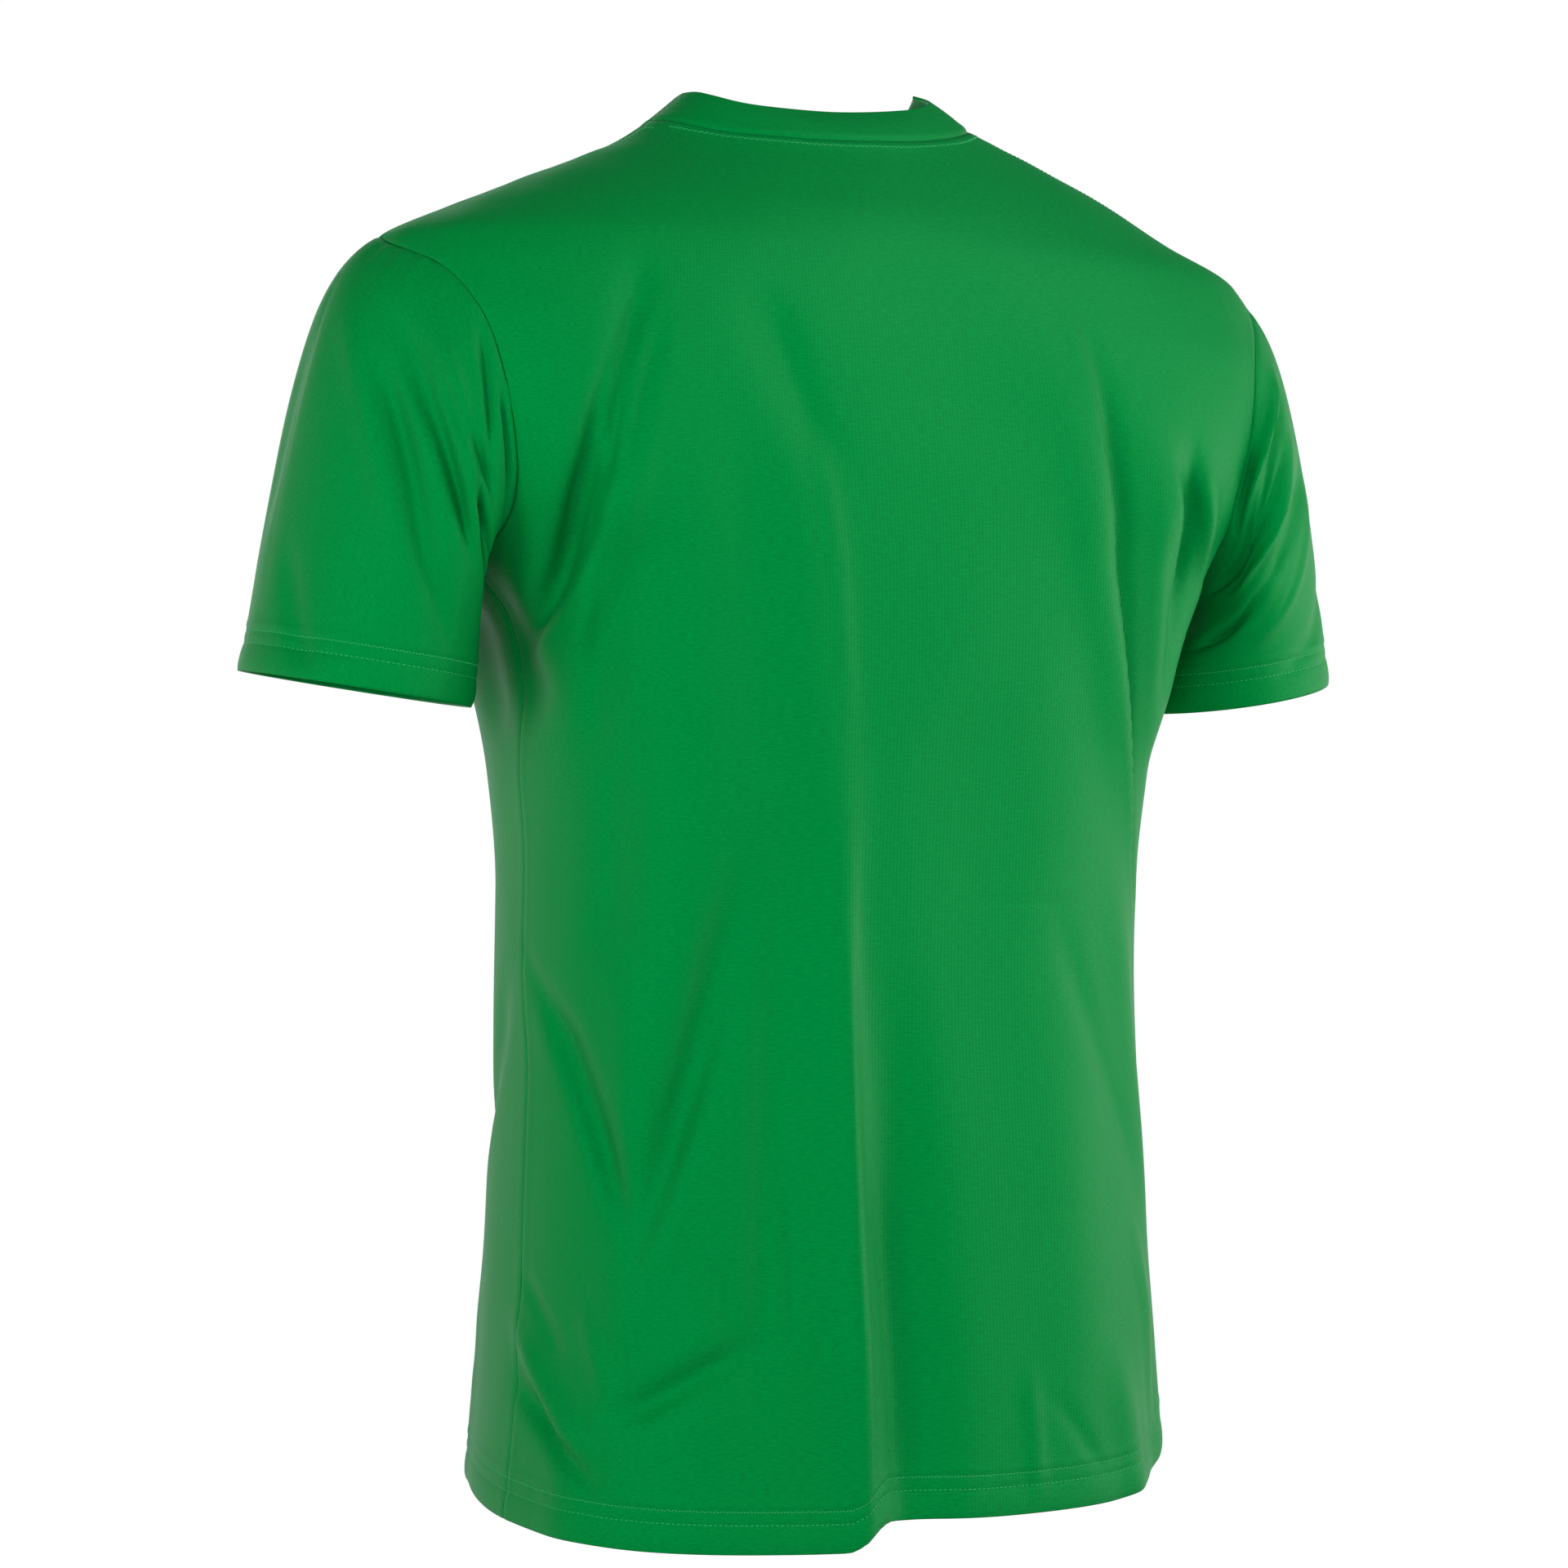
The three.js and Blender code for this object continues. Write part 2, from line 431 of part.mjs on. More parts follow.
// Shoulder seam from the neck out to the shoulder point
function shoulderStations(side) {
  const stations = [];
  for (let i = 0; i <= SHOULDER_STEPS; i += 1) {
    const down = mix(HIGH_SHOULDER.down, SHOULDER_POINT.down, i / SHOULDER_STEPS);
    stations.push({ bearing: signOf(side) * shoulderBearing(side, down), down });
  }
  return stations;
}

// Neck seam of a panel from its left high shoulder point to the right one
function neckStations(rows, ends, steps) {
  const front = ends[1].bearing < 0;
  const points = rows.map((row) => {
    const turn = (Math.asin(row.across / bodyColumn("half", row.down)) * 180) / Math.PI;
    return { bearing: front ? -180 - turn : turn, down: row.down };
  });
  return evenStations([ends[0], ...points, ends[1]], steps);
}

// Fills a patch of a panel between its four edges. middle is the bearing of the panel's centre line. The
// net is drawn on the cloth laid out flat: across is the share of the way round times the half width.
function fillPatch(left, right, bottom, top, middle) {
  const flat = (s) => ({ across: ((s.bearing - middle) / 90) * bodyColumn("half", s.down), down: s.down });
  const round = (f) => ({ bearing: middle + (90 * f.across) / bodyColumn("half", f.down), down: f.down });
  const [a, b, low, high] = [left, right, bottom, top].map((edge) => edge.map(flat));
  const last = top.length - 1;
  return a.map((_, j) => {
    const v = j / (a.length - 1);
    return top.map((__, i) => {
      const u = i / last;
      // Each thread runs straight from bottom to top, and the side edges bend those near them
      const bend = (key, fromLeft, fromRight) =>
        mix(low[i][key], high[i][key], v) +
        (a[j][key] - mix(low[0][key], high[0][key], v)) * fromLeft +
        (b[j][key] - mix(low[last][key], high[last][key], v)) * fromRight;
      const nearLeft = Math.max(1 - 2 * u, 0) ** 2;
      const nearRight = Math.max(2 * u - 1, 0) ** 2;
      return round({ across: bend("across", nearLeft, nearRight), down: bend("down", 1 - u, u) });
    });
  });
}

// Net of a panel: up to the level of the armpits, then between the armholes to the top edge
function fillPanel(sides, armholes, top, middle) {
  const last = top.length - 1;
  const ends = [armholes[0][0], armholes[1][0]];
  const level = top.map((_, i) => {
    const bearing = mix(ends[0].bearing, ends[1].bearing, i / last);
    return { bearing, down: ARMPIT.down };
  });
  const hem = top.map((_, i) => {
    const bearing = mix(sides[0][0].bearing, sides[1][0].bearing, i / last);
    return { bearing, down: hemDown(bearing) };
  });
  const lower = fillPatch([...sides[0], ends[0]], [...sides[1], ends[1]], hem, level, middle);
  return [...lower, ...fillPatch(armholes[0], armholes[1], level, top, middle).slice(1)];
}

// Wall between an outer and an inner grid of points. wrap joins the last column to the first.
function wallGeometry(outer, inner, wrap) {
  const rows = outer.length;
  const columns = outer[0].length;
  const positions = [];
  for (const grid of [outer, inner]) {
    for (const row of grid) for (const p of row) positions.push(p.x, p.y, p.z);
  }
  const at = (layer, j, i) => layer * rows * columns + j * columns + (i % columns);
  const triangles = [];
  const quad = (a, b, c, d) => triangles.push(a, b, c, a, c, d);
  const turned = (a, b, c, d) => triangles.push(b, c, d, b, d, a);
  const lastColumn = wrap ? columns : columns - 1;
  for (let j = 0; j < rows - 1; j += 1) {
    for (let i = 0; i < lastColumn; i += 1) {
      const next = (i + 1) % columns;
      const rising = outer[j][i].distanceTo(outer[j + 1][next]);
      const falling = outer[j][next].distanceTo(outer[j + 1][i]);
      // Both faces are split along the same, shorter diagonal
      const outside = rising <= falling ? quad : turned;
      outside(at(0, j, i), at(0, j, i + 1), at(0, j + 1, i + 1), at(0, j + 1, i));
      outside(at(1, j, i), at(1, j + 1, i), at(1, j + 1, i + 1), at(1, j, i + 1));
    }
  }
  for (let i = 0; i < lastColumn; i += 1) {
    quad(at(0, 0, i), at(1, 0, i), at(1, 0, i + 1), at(0, 0, i + 1));
    quad(at(0, rows - 1, i), at(0, rows - 1, i + 1), at(1, rows - 1, i + 1), at(1, rows - 1, i));
  }
  if (!wrap) {
    const end = columns - 1;
    for (let j = 0; j < rows - 1; j += 1) {
      quad(at(0, j, 0), at(0, j + 1, 0), at(1, j + 1, 0), at(1, j, 0));
      quad(at(0, j, end), at(1, j, end), at(1, j + 1, end), at(0, j + 1, end));
    }
  }
  const geometry = new THREE.BufferGeometry();
  geometry.setAttribute("position", new THREE.Float32BufferAttribute(positions, 3));
  geometry.setIndex(triangles);
  geometry.computeVertexNormals();
  return geometry;
}

// Thickness of the wall: the turned-up hem lies on the inside
function bodyWall(bearing, down) {
  return hemDown(bearing) - down < HEM_HEIGHT + HEM_STEP / 4 ? CLOTH + HEM_ALLOWANCE : CLOTH;
}

// A point on the rim of a panel moved in over the cloth, away from its seam. facing is 1 for the back,
// whose columns run to the right seen from outside, and -1 for the front, whose columns run to the left.
function pulledBack(grid, normals, j, i, facing) {
  const rows = grid.length;
  const columns = grid[0].length;
  const p = grid[j][i].clone();
  const pull = (ahead, behind, turn) => {
    const inward = ahead.clone().sub(behind).cross(normals[j][i]).normalize();
    p.addScaledVector(inward, SEAM_GAP * turn * facing);
  };
  const above = grid[Math.min(j + 1, rows - 1)][i];
  const below = grid[Math.max(j - 1, 0)][i];
  const right = grid[j][Math.min(i + 1, columns - 1)];
  const left = grid[j][Math.max(i - 1, 0)];
  if (i === 0) pull(above, below, 1);
  if (i === columns - 1) pull(above, below, -1);
  if (j === rows - 1) pull(right, left, 1);
  return p;
}

function panelGeometry(stations, facing) {
  const face = stations.map((row) => row.map((s) => bodyOuter(s.bearing, s.down)));
  const normals = stations.map((row) => row.map((s) => bodyOuterNormal(s.bearing, s.down)));
  const outer = face.map((row, j) => row.map((_, i) => pulledBack(face, normals, j, i, facing)));
  const inner = outer.map((row, j) =>
    row.map((p, i) => {
      const wall = bodyWall(stations[j][i].bearing, stations[j][i].down);
      return p.clone().addScaledVector(normals[j][i], -wall);
    }),
  );
  const order = (grid) => (facing > 0 ? grid : grid.map((row) => row.toReversed()));
  return wallGeometry(order(outer), order(inner), false);
}

const leftShoulder = shoulderStations("left");
const rightShoulder = shoulderStations("right");
const shoulderEnds = [leftShoulder[0], rightShoulder[0]];
const throughFront = (s) => ({ bearing: s.bearing - 360, down: s.down });

const backStations = fillPanel(
  [sideStations("left"), sideStations("right")],
  [armholeStations("left", BACK_ARMHOLE), armholeStations("right", BACK_ARMHOLE)],
  [
    ...leftShoulder.slice(1).reverse(),
    ...neckStations(BACK_NECK, shoulderEnds, BACK_NECK_STEPS),
    ...rightShoulder.slice(1),
  ],
  0,
);

// The front runs from the wearer's left side at -90 on to the right side at -270
const frontEnds = [leftShoulder[0], throughFront(rightShoulder[0])];
const frontStations = fillPanel(
  [sideStations("left"), sideStations("right").map(throughFront)],
  [armholeStations("left", FRONT_ARMHOLE), armholeStations("right", FRONT_ARMHOLE).map(throughFront)],
  [
    ...leftShoulder.slice(1).reverse(),
    ...neckStations(FRONT_NECK, frontEnds, FRONT_NECK_STEPS),
    ...rightShoulder.slice(1).map(throughFront),
  ],
  -180,
);

function sleeveFolds(side, turn, share) {
  let height = 0;
  for (const f of SLEEVE_FOLDS[side]) {
    const x0 = f.fromTurn * ROUND_SLEEVE;
    const x1 = f.toTurn * ROUND_SLEEVE;
    const y0 = f.fromShare * DOWN_SLEEVE;
    const y1 = f.toShare * DOWN_SLEEVE;
    height += foldHeight(f, x0, y0, x1, y1, turn * ROUND_SLEEVE, share * DOWN_SLEEVE);
  }
  return height;
}

// Armhole loop from the shoulder point down the back to the armpit and up the front
function armholeLoop(side) {
  const back = armholeStations(side, BACK_ARMHOLE).reverse();
  const front = armholeStations(side, FRONT_ARMHOLE);
  return [...back, ...front.slice(1, -1)];
}

// One thread of the sleeve from the armhole to the hem, at a share of the way
function sleeveThread(side, station, turn) {
  const hem = SLEEVE_HEMS[side];
  const out = -signOf(side);
  const angle = radians(turn);
  const start = bodyOuter(station.bearing, station.down);
  const end = new THREE.Vector3(
    out * (hem.x + hem.halfX * Math.cos(angle)),
    hem.y + hem.halfY * Math.sin(angle),
    hem.tilt * Math.cos(angle) - hem.pitch * Math.sin(angle) - hem.down,
  );
  const col = (name) => column(SLEEVE_START, "turn", name, turn);
  const pull = col(`${side}Pull`);
  const leave = new THREE.Vector3(out * col("out"), col("back"), -col(`${side}Down`));
  leave.normalize().multiplyScalar(pull);
  const arrive = new THREE.Vector3(out * hem.out, 0, -1).normalize().multiplyScalar(pull);
  return (s) => {
    const s2 = s * s;
    const s3 = s2 * s;
    const p = start.clone().multiplyScalar(2 * s3 - 3 * s2 + 1);
    p.addScaledVector(leave, s3 - 2 * s2 + s);
    p.addScaledVector(end, 3 * s2 - 2 * s3);
    return p.addScaledVector(arrive, s3 - s2);
  };
}

// Shares of the way down a thread: even steps to the cuff, its step, then the hem
function threadShares(thread) {
  const samples = 60;
  const marks = [0];
  let before = thread(0);
  for (let i = 1; i <= samples; i += 1) {
    const p = thread(i / samples);
    marks.push(marks[i - 1] + p.distanceTo(before));
    before = p;
  }
  const length = marks[samples];
  const cuff = length - CUFF_HEIGHT;
  const shares = [];
  for (let j = 0; j <= SLEEVE_STEPS; j += 1) {
    let at = ((cuff - HEM_STEP) * j) / (SLEEVE_STEPS - 2);
    if (j === SLEEVE_STEPS - 1) at = cuff;
    if (j === SLEEVE_STEPS) at = length;
    let k = 1;
    while (k < samples && marks[k] < at) k += 1;
    shares.push((k - 1 + (at - marks[k - 1]) / (marks[k] - marks[k - 1])) / samples);
  }
  return shares;
}

// Grid of a sleeve, row by row from the armhole to the hem, with its folds
function sleeveFace(side) {
  const loop = armholeLoop(side);
  const count = loop.length;
  const turns = loop.map((_, i) => (i <= count / 2 ? (360 * i) / count : (360 * i) / count - 360));
  const threads = loop.map((station, i) => sleeveThread(side, station, turns[i]));
  const shares = threads.map(threadShares);
  const smooth = [];
  for (let j = 0; j <= SLEEVE_STEPS; j += 1) smooth.push(threads.map((thread, i) => thread(shares[i][j])));
  const normals = gridNormals(smooth, signOf(side));
  return smooth.map((row, j) =>
    row.map((p, i) => p.clone().addScaledVector(normals[j][i], sleeveFolds(side, turns[i], shares[i][j]))),
  );
}

// Normals of a closed grid by central differences
function gridNormals(grid, flip) {
  const rows = grid.length;
  const columns = grid[0].length;
  return grid.map((row, j) =>
    row.map((_, i) => {
      const around = grid[j][(i + 1) % columns].clone().sub(grid[j][(i + columns - 1) % columns]);
      const along = grid[Math.min(j + 1, rows - 1)][i].clone().sub(grid[Math.max(j - 1, 0)][i]);
      return around.cross(along).normalize().multiplyScalar(flip);
    }),
  );
}

function sleeveGeometry(side) {
  const face = sleeveFace(side);
  const loop = armholeLoop(side);
  const normals = gridNormals(face, signOf(side));
  // At the armhole the wall starts clear of the panels, and where the sleeve bends down over the
  // shoulder its end lies along the panel's own thickness
  const middle = new THREE.Vector3();
  for (const p of face[0]) middle.addScaledVector(p, 1 / loop.length);
  face[0] = face[0].map((p, i) => {
    const next = (i + 1) % loop.length;
    const before = (i + loop.length - 1) % loop.length;
    const panel = bodyOuterNormal(loop[i].bearing, loop[i].down);
    const along = face[0][next].clone().sub(face[0][before]);
    const away = along.clone().cross(panel).normalize();
    if (away.dot(middle.clone().sub(p)) < 0) away.negate();
    if (face[1][i].clone().sub(p).dot(panel) < 0) normals[0][i].copy(panel);
    return p.clone().addScaledVector(away, SEAM_GAP);
  });
  const wall = (j) => (j >= SLEEVE_STEPS - 1 ? CLOTH + HEM_ALLOWANCE : CLOTH);
  const inner = face.map((row, j) => row.map((p, i) => p.clone().addScaledVector(normals[j][i], -wall(j))));
  const order = (grid) => (side === "left" ? grid.slice().reverse() : grid);
  return wallGeometry(order(face), order(inner), true);
}

// Neck band: a ring of cloth folded double, standing on the neck seam
function bandGeometry() {
  const back = neckStations(BACK_NECK, shoulderEnds, BACK_NECK_STEPS);
  const front = neckStations(FRONT_NECK, frontEnds, FRONT_NECK_STEPS).reverse();
  const ring = [...back.slice(0, -1), ...front.slice(0, -1)];
  const outer = [];
  const inner = [];
  for (let j = 0; j <= BAND_STEPS; j += 1) {
    const rise = j / BAND_STEPS;
    const outerRow = [];
    const innerRow = [];
    for (const s of ring) {
      const bearing = s.bearing < -180 ? s.bearing + 360 : s.bearing;
      const lean = (name) => column(BAND_LEAN, "bearing", name, bearing);
      const seam = bodyOuter(s.bearing, s.down);
      const inward = new THREE.Vector3(NECK_MIDDLE.x - seam.x, NECK_MIDDLE.y - seam.y, 0).normalize();
      const up = inward.clone().multiplyScalar(lean("inward"));
      up.z = lean("rise");
      const height = up.length();
      up.normalize();
      const across = new THREE.Vector3(0, 0, 1).addScaledVector(up, -up.z);
      across.normalize();
      if (across.dot(inward) > 0) across.negate();
      const p = seam.clone().addScaledVector(up, 2 * SEAM_GAP + rise * height);
      p.addScaledVector(across, lean("bulge") * Math.sin(Math.PI * rise));
      const thin = rise === 1 ? BAND_FOLD.share : 1;
      const top = rise === 1 ? p.clone().addScaledVector(across, -BAND_FOLD.inset) : p;
      outerRow.push(top);
      innerRow.push(top.clone().addScaledVector(across, -BAND_CLOTH * thin));
    }
    outer.push(outerRow);
    inner.push(innerRow);
  }
  return wallGeometry(outer, inner, true);
}

const shirt = new THREE.Group();
const clothMaterial = (name) =>
  new THREE.MeshStandardMaterial({ name, color: 0x0a8a3c, roughness: 0.7, metalness: 0 });

function addPiece(name, geometry) {
  const mesh = new THREE.Mesh(geometry, clothMaterial(name));
  mesh.name = name;
  shirt.add(mesh);
  return mesh;
}

addPiece("back_panel", panelGeometry(backStations, 1));
addPiece("front_panel", panelGeometry(frontStations, -1));
addPiece("sleeve_left", sleeveGeometry("left"));
addPiece("sleeve_right", sleeveGeometry("right"));
addPiece("neck_band", bandGeometry());

export default shirt;
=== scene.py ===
# %% [markdown]
# # A football jersey
# A plain green short-sleeved jersey keeps the round form it had when it was worn, with no wearer in
# it. This lesson sews it from five thin shells of cloth: back, front, two sleeves and a neck band.
# Each shell follows the same named sizes as the solid part, with finer folds, hems and stitches.

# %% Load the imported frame
import math

import bpy
import numpy as np
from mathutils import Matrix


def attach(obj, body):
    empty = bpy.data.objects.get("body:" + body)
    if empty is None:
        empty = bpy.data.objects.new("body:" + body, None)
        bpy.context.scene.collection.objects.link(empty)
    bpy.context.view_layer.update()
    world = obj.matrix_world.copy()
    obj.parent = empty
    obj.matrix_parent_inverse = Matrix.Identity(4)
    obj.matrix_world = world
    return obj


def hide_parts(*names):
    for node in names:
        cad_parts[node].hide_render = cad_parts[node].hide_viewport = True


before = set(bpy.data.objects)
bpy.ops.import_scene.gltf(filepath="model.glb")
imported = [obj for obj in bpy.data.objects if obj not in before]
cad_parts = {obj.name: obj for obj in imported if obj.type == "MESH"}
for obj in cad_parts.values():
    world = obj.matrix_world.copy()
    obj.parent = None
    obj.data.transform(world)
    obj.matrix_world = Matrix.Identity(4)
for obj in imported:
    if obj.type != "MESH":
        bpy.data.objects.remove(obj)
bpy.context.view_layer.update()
MM = 0.001

# %% [markdown]
# ## The camera
# The photograph looks at the jersey from behind and from the wearer's left. A long lens far away
# keeps the proportions flat, so the camera stands 2.6 m off. It is set first, so that every later
# step can be judged from the right place.

# %% Stand the camera where the photograph was taken
VIEW_TURN = math.radians(28)
DISTANCE = 2.6
EYE_LEVEL = -0.384
FOCAL_PIXELS = 6102.0
FRAME_PIXELS = 1920
AIM_LEFT = math.atan(41 / FOCAL_PIXELS)
AIM_UP = math.atan(90 / FOCAL_PIXELS)

camera_data = bpy.data.cameras.new("camera")
camera_data.sensor_width = 36
camera_data.sensor_height = 36
camera_data.sensor_fit = "HORIZONTAL"
camera_data.lens = FOCAL_PIXELS / FRAME_PIXELS * 36
camera = bpy.data.objects.new("camera", camera_data)
bpy.context.scene.collection.objects.link(camera)
camera.location = (math.sin(VIEW_TURN) * DISTANCE, math.cos(VIEW_TURN) * DISTANCE, EYE_LEVEL)
camera.rotation_euler = (math.pi / 2 + AIM_UP, 0, math.pi - VIEW_TURN + AIM_LEFT)
bpy.context.scene.camera = camera
print("camera at", [round(c, 3) for c in camera.location], "lens", round(camera_data.lens, 1), "mm")

# %% [markdown]
# ## The floor and the light
# A garment cut out on white was lit in a white room. Here a grey floor lies well below the hem and
# looks pale far off because it glows: its emission is a painted glow, dim below the jersey as a
# painted shadow and bright further off. The world is bright all round the horizon and dim overhead,
# which is why the shoulders are the darkest cloth in the picture. Five soft panels then shape the
# light: the strongest looks from the left and shades each fold on its right, one looks down on the
# right shoulder, and the others fill in.

# %% Lay the floor
FLOOR_LEVEL = -1.25
FLOOR_REACH = 60.0
FLOOR_GLOW = {"near": 1.0, "far": 3.4, "dim": 0.12, "bright": 0.93}
floor_mesh = bpy.data.meshes.new("floor")
corners = [(-FLOOR_REACH, -FLOOR_REACH), (FLOOR_REACH, -FLOOR_REACH), (FLOOR_REACH, FLOOR_REACH)]
corners.append((-FLOOR_REACH, FLOOR_REACH))
floor_mesh.from_pydata([(x, y, FLOOR_LEVEL) for x, y in corners], [], [(0, 1, 2, 3)])
floor = bpy.data.objects.new("floor", floor_mesh)
bpy.context.scene.collection.objects.link(floor)


# %% A small helper that lets shader maths read like sums
class Socket:
    """One output of a shader node. Sums with it add Math nodes to its tree."""

    def __init__(self, tree, output):
        self.tree = tree
        self.output = output

    def sum_of(self, operation, first, second):
        return node(self.tree, "ShaderNodeMath", {"operation": operation}, [first, second])

    def __add__(self, other):
        return self.sum_of("ADD", self, other)

    def __radd__(self, other):
        return self.sum_of("ADD", other, self)

    def __mul__(self, other):
        return self.sum_of("MULTIPLY", self, other)

    def __rmul__(self, other):
        return self.sum_of("MULTIPLY", other, self)


def node(tree, kind, settings=None, inputs=None, output=0):
    """Adds a node: first its settings, then the values or links of its sockets."""
    made = tree.nodes.new(kind)
    for name, value in (settings or {}).items():
        if name == "stops":
            ramp = made.color_ramp
            while len(ramp.elements) < len(value):
                ramp.elements.new(0.5)
            for element, (place, colour) in zip(ramp.elements, value):
                element.position = place
                element.color = (*colour, 1)
        else:
            setattr(made, name, value)
    pairs = inputs.items() if isinstance(inputs, dict) else enumerate(inputs or [])
    for name, value in pairs:
        if isinstance(value, Socket):
            tree.links.new(value.output, made.inputs[name])
        else:
            made.inputs[name].default_value = value
    return Socket(tree, made.outputs[output]) if len(made.outputs) else None


def new_material(name):
    """An empty material with its node tree."""
    material = bpy.data.materials.new(name)
    material.use_nodes = True
    material.node_tree.nodes.clear()
    return material, material.node_tree


def finish_material(tree, shader):
    node(tree, "ShaderNodeOutputMaterial", {}, {"Surface": shader})


# %% Paint the floor and light the room
floor_material, tree = new_material("glowing_floor")
place = node(tree, "ShaderNodeTexCoord", output="Object")
speckle = node(tree, "ShaderNodeTexNoise", {}, {"Vector": place, "Scale": 3.0, "Detail": 3.0})
floor_colour = node(
    tree,
    "ShaderNodeMix",
    {"data_type": "RGBA"},
    {0: speckle, 6: (0.3, 0.3, 0.3, 1), 7: (0.34, 0.34, 0.34, 1)},
    output=2,
)
away = node(tree, "ShaderNodeVectorMath", {"operation": "LENGTH"}, [place], output="Value")
# The floor glows with a painted glow: dim below the jersey, as a painted shadow that keeps the jersey's
# underside dark, and bright further off
lit = node(
    tree, "ShaderNodeMapRange", {"interpolation_type": "SMOOTHSTEP"}, [away, *FLOOR_GLOW.values()]
)
floor_light = node(tree, "ShaderNodeCombineColor", {}, [lit, lit, lit])
floor_shader = node(
    tree,
    "ShaderNodeBsdfPrincipled",
    {},
    {"Base Color": floor_colour, "Roughness": 0.9, "Emission Color": floor_light, "Emission Strength": 1.0},
)
finish_material(tree, floor_shader)
floor_mesh.materials.append(floor_material)

bpy.context.scene.view_settings.view_transform = "Standard"
world = bpy.data.worlds.new("white_room")
world.use_nodes = True
bpy.context.scene.world = world
tree = world.node_tree
tree.nodes.clear()
direction = node(tree, "ShaderNodeTexCoord", output="Generated")
height = node(tree, "ShaderNodeSeparateXYZ", {}, [direction], output="Z")
ROOM_GREYS = ((0.3, 0.4), (0.42, 1.0), (0.59, 1.0), (0.7, 0.08))
room = node(
    tree,
    "ShaderNodeValToRGB",
    {"stops": [(place, (grey, grey, grey)) for place, grey in ROOM_GREYS]},
    [height * 0.5 + 0.5],
)
background = node(tree, "ShaderNodeBackground", {}, {"Color": room, "Strength": 1.0})
node(tree, "ShaderNodeOutputWorld", {}, {"Surface": background})


def soft_panel(name, turn, climb, distance, size, watts):
    """A square area light that looks at the middle of the jersey. turn is measured like the camera's,
    and climb is how steeply the light looks down."""
    data = bpy.data.lights.new(name, "AREA")
    data.energy = watts
    data.size = size
    light = bpy.data.objects.new(name, data)
    bpy.context.scene.collection.objects.link(light)
    angle = math.radians(turn)
    rise = math.radians(climb)
    reach = distance * math.cos(rise)
    level = EYE_LEVEL + distance * math.sin(rise)
    light.location = (math.sin(angle) * reach, math.cos(angle) * reach, level)
    light.rotation_euler = (math.pi / 2 - rise, 0, math.pi - angle)


soft_panel("key_panel", 62, 14, 2.4, 0.7, 20)
soft_panel("fill_panel", 32, 2, 2.4, 0.9, 13)
soft_panel("high_panel", -44, 44, 2.4, 1.0, 23)
soft_panel("right_panel", -67, 2, 1.3, 0.8, 7)
soft_panel("front_panel_light", 190, 20, 2.6, 1.4, 8)

# %% [markdown]
# ## The cut of the jersey
# A pattern maker describes a body by its girth at each level and by where the seams run. The same
# sizes as in the solid part are repeated here in millimetres. Levels count down from the high
# shoulder points, and bearings turn from the centre back, positive to the wearer's right.

# %% Sections of the body and the lines of its seams


def table(names, *rows):
    """Columns of a short table, by name."""
    return {name: np.array([row[i] for row in rows], float) for i, name in enumerate(names.split())}


BODY_SECTIONS = table(
    "down half back front middle square lean shift",
    (-14, 72, 42, 40, -14, 0.0, 2.6, 0),
    (0, 90, 51, 50, -14, 0.0, 3, 0),
    (11, 111, 55, 56, -13, 0.0, 5, 0),
    (19, 130, 59, 58, -11, 0.0, 5, 0),
    (38, 172, 71, 66, -6, 0.01, 3, 0),
    (57, 209, 83, 76, -2, 0.02, -0.7, 0),
    (76, 246, 92, 84, 1, 0.03, -2, 0),
    (95, 255, 99, 92, 2, 0.04, -3, 0),
    (120, 260, 107, 102, 2, 0.05, -2, 0),
    (160, 252, 115, 115, 1, 0.06, -1, 0),
    (200, 230, 120, 126, 0, 0.06, 0, 0.5),
    (240, 203, 121, 130, 0, 0.05, 0, 1.5),
    (290, 185, 119, 130, 0, 0.05, 0, 2.5),
    (340, 174, 115, 127, 0, 0.05, 0, 2.5),
    (400, 168.5, 113, 123, 0, 0.05, 0, 1.5),
    (470, 169, 115, 121, 0, 0.05, 0, 0),
    (560, 173, 119, 121, 0, 0.05, 0, 0),
    (640, 178, 123, 122, 0, 0.05, 0, 1),
    (700, 183, 125, 122, 0, 0.05, 0, 0.5),
    (750, 187, 126, 123, 0, 0.05, 0, 0),
)
HEM_LEVELS = table(
    "bearing down",
    (-180, 702), (-120, 705), (-90, 715), (-70, 720), (-50, 724), (-25, 727), (-13, 728), (-6, 714),
    (10, 715), (30, 713), (50, 702), (70, 685), (90, 676), (120, 682), (150, 694), (180, 702),
)
SIDE_SEAMS = table(
    "down left right",
    (240, 85, 90), (300, 85, 91), (350, 90, 92), (430, 91, 93),
    (500, 87, 95), (620, 86, 95), (680, 86, 93), (740, 87, 91),
)
SHOULDER_SEAMS = table("down left right", (0, -2, 8), (20, -4, 16), (57, -5, 18), (76, -2, 12))
ARMPIT = 240
SHOULDER_POINT = 76
BACK_ARMHOLE = [(78, 232), (62, 212), (53, 180), (51, 146), (55, 114), (66, 93)]
FRONT_ARMHOLE = [(102, 231), (115, 214), (124, 182), (126, 146), (121, 112), (107, 87)]
BACK_NECK = [(-88, 2), (-82, 5), (-54, 12), (0, 15), (54, 12), (82, 5), (88, 2)]
FRONT_NECK = [(-90, 8), (-84, 26), (-70, 48), (-42, 70), (0, 80), (42, 70), (70, 48), (84, 26), (90, 8)]
print(len(BODY_SECTIONS["down"]), "sections between the neck and the hem")


# %% The plain form of the body


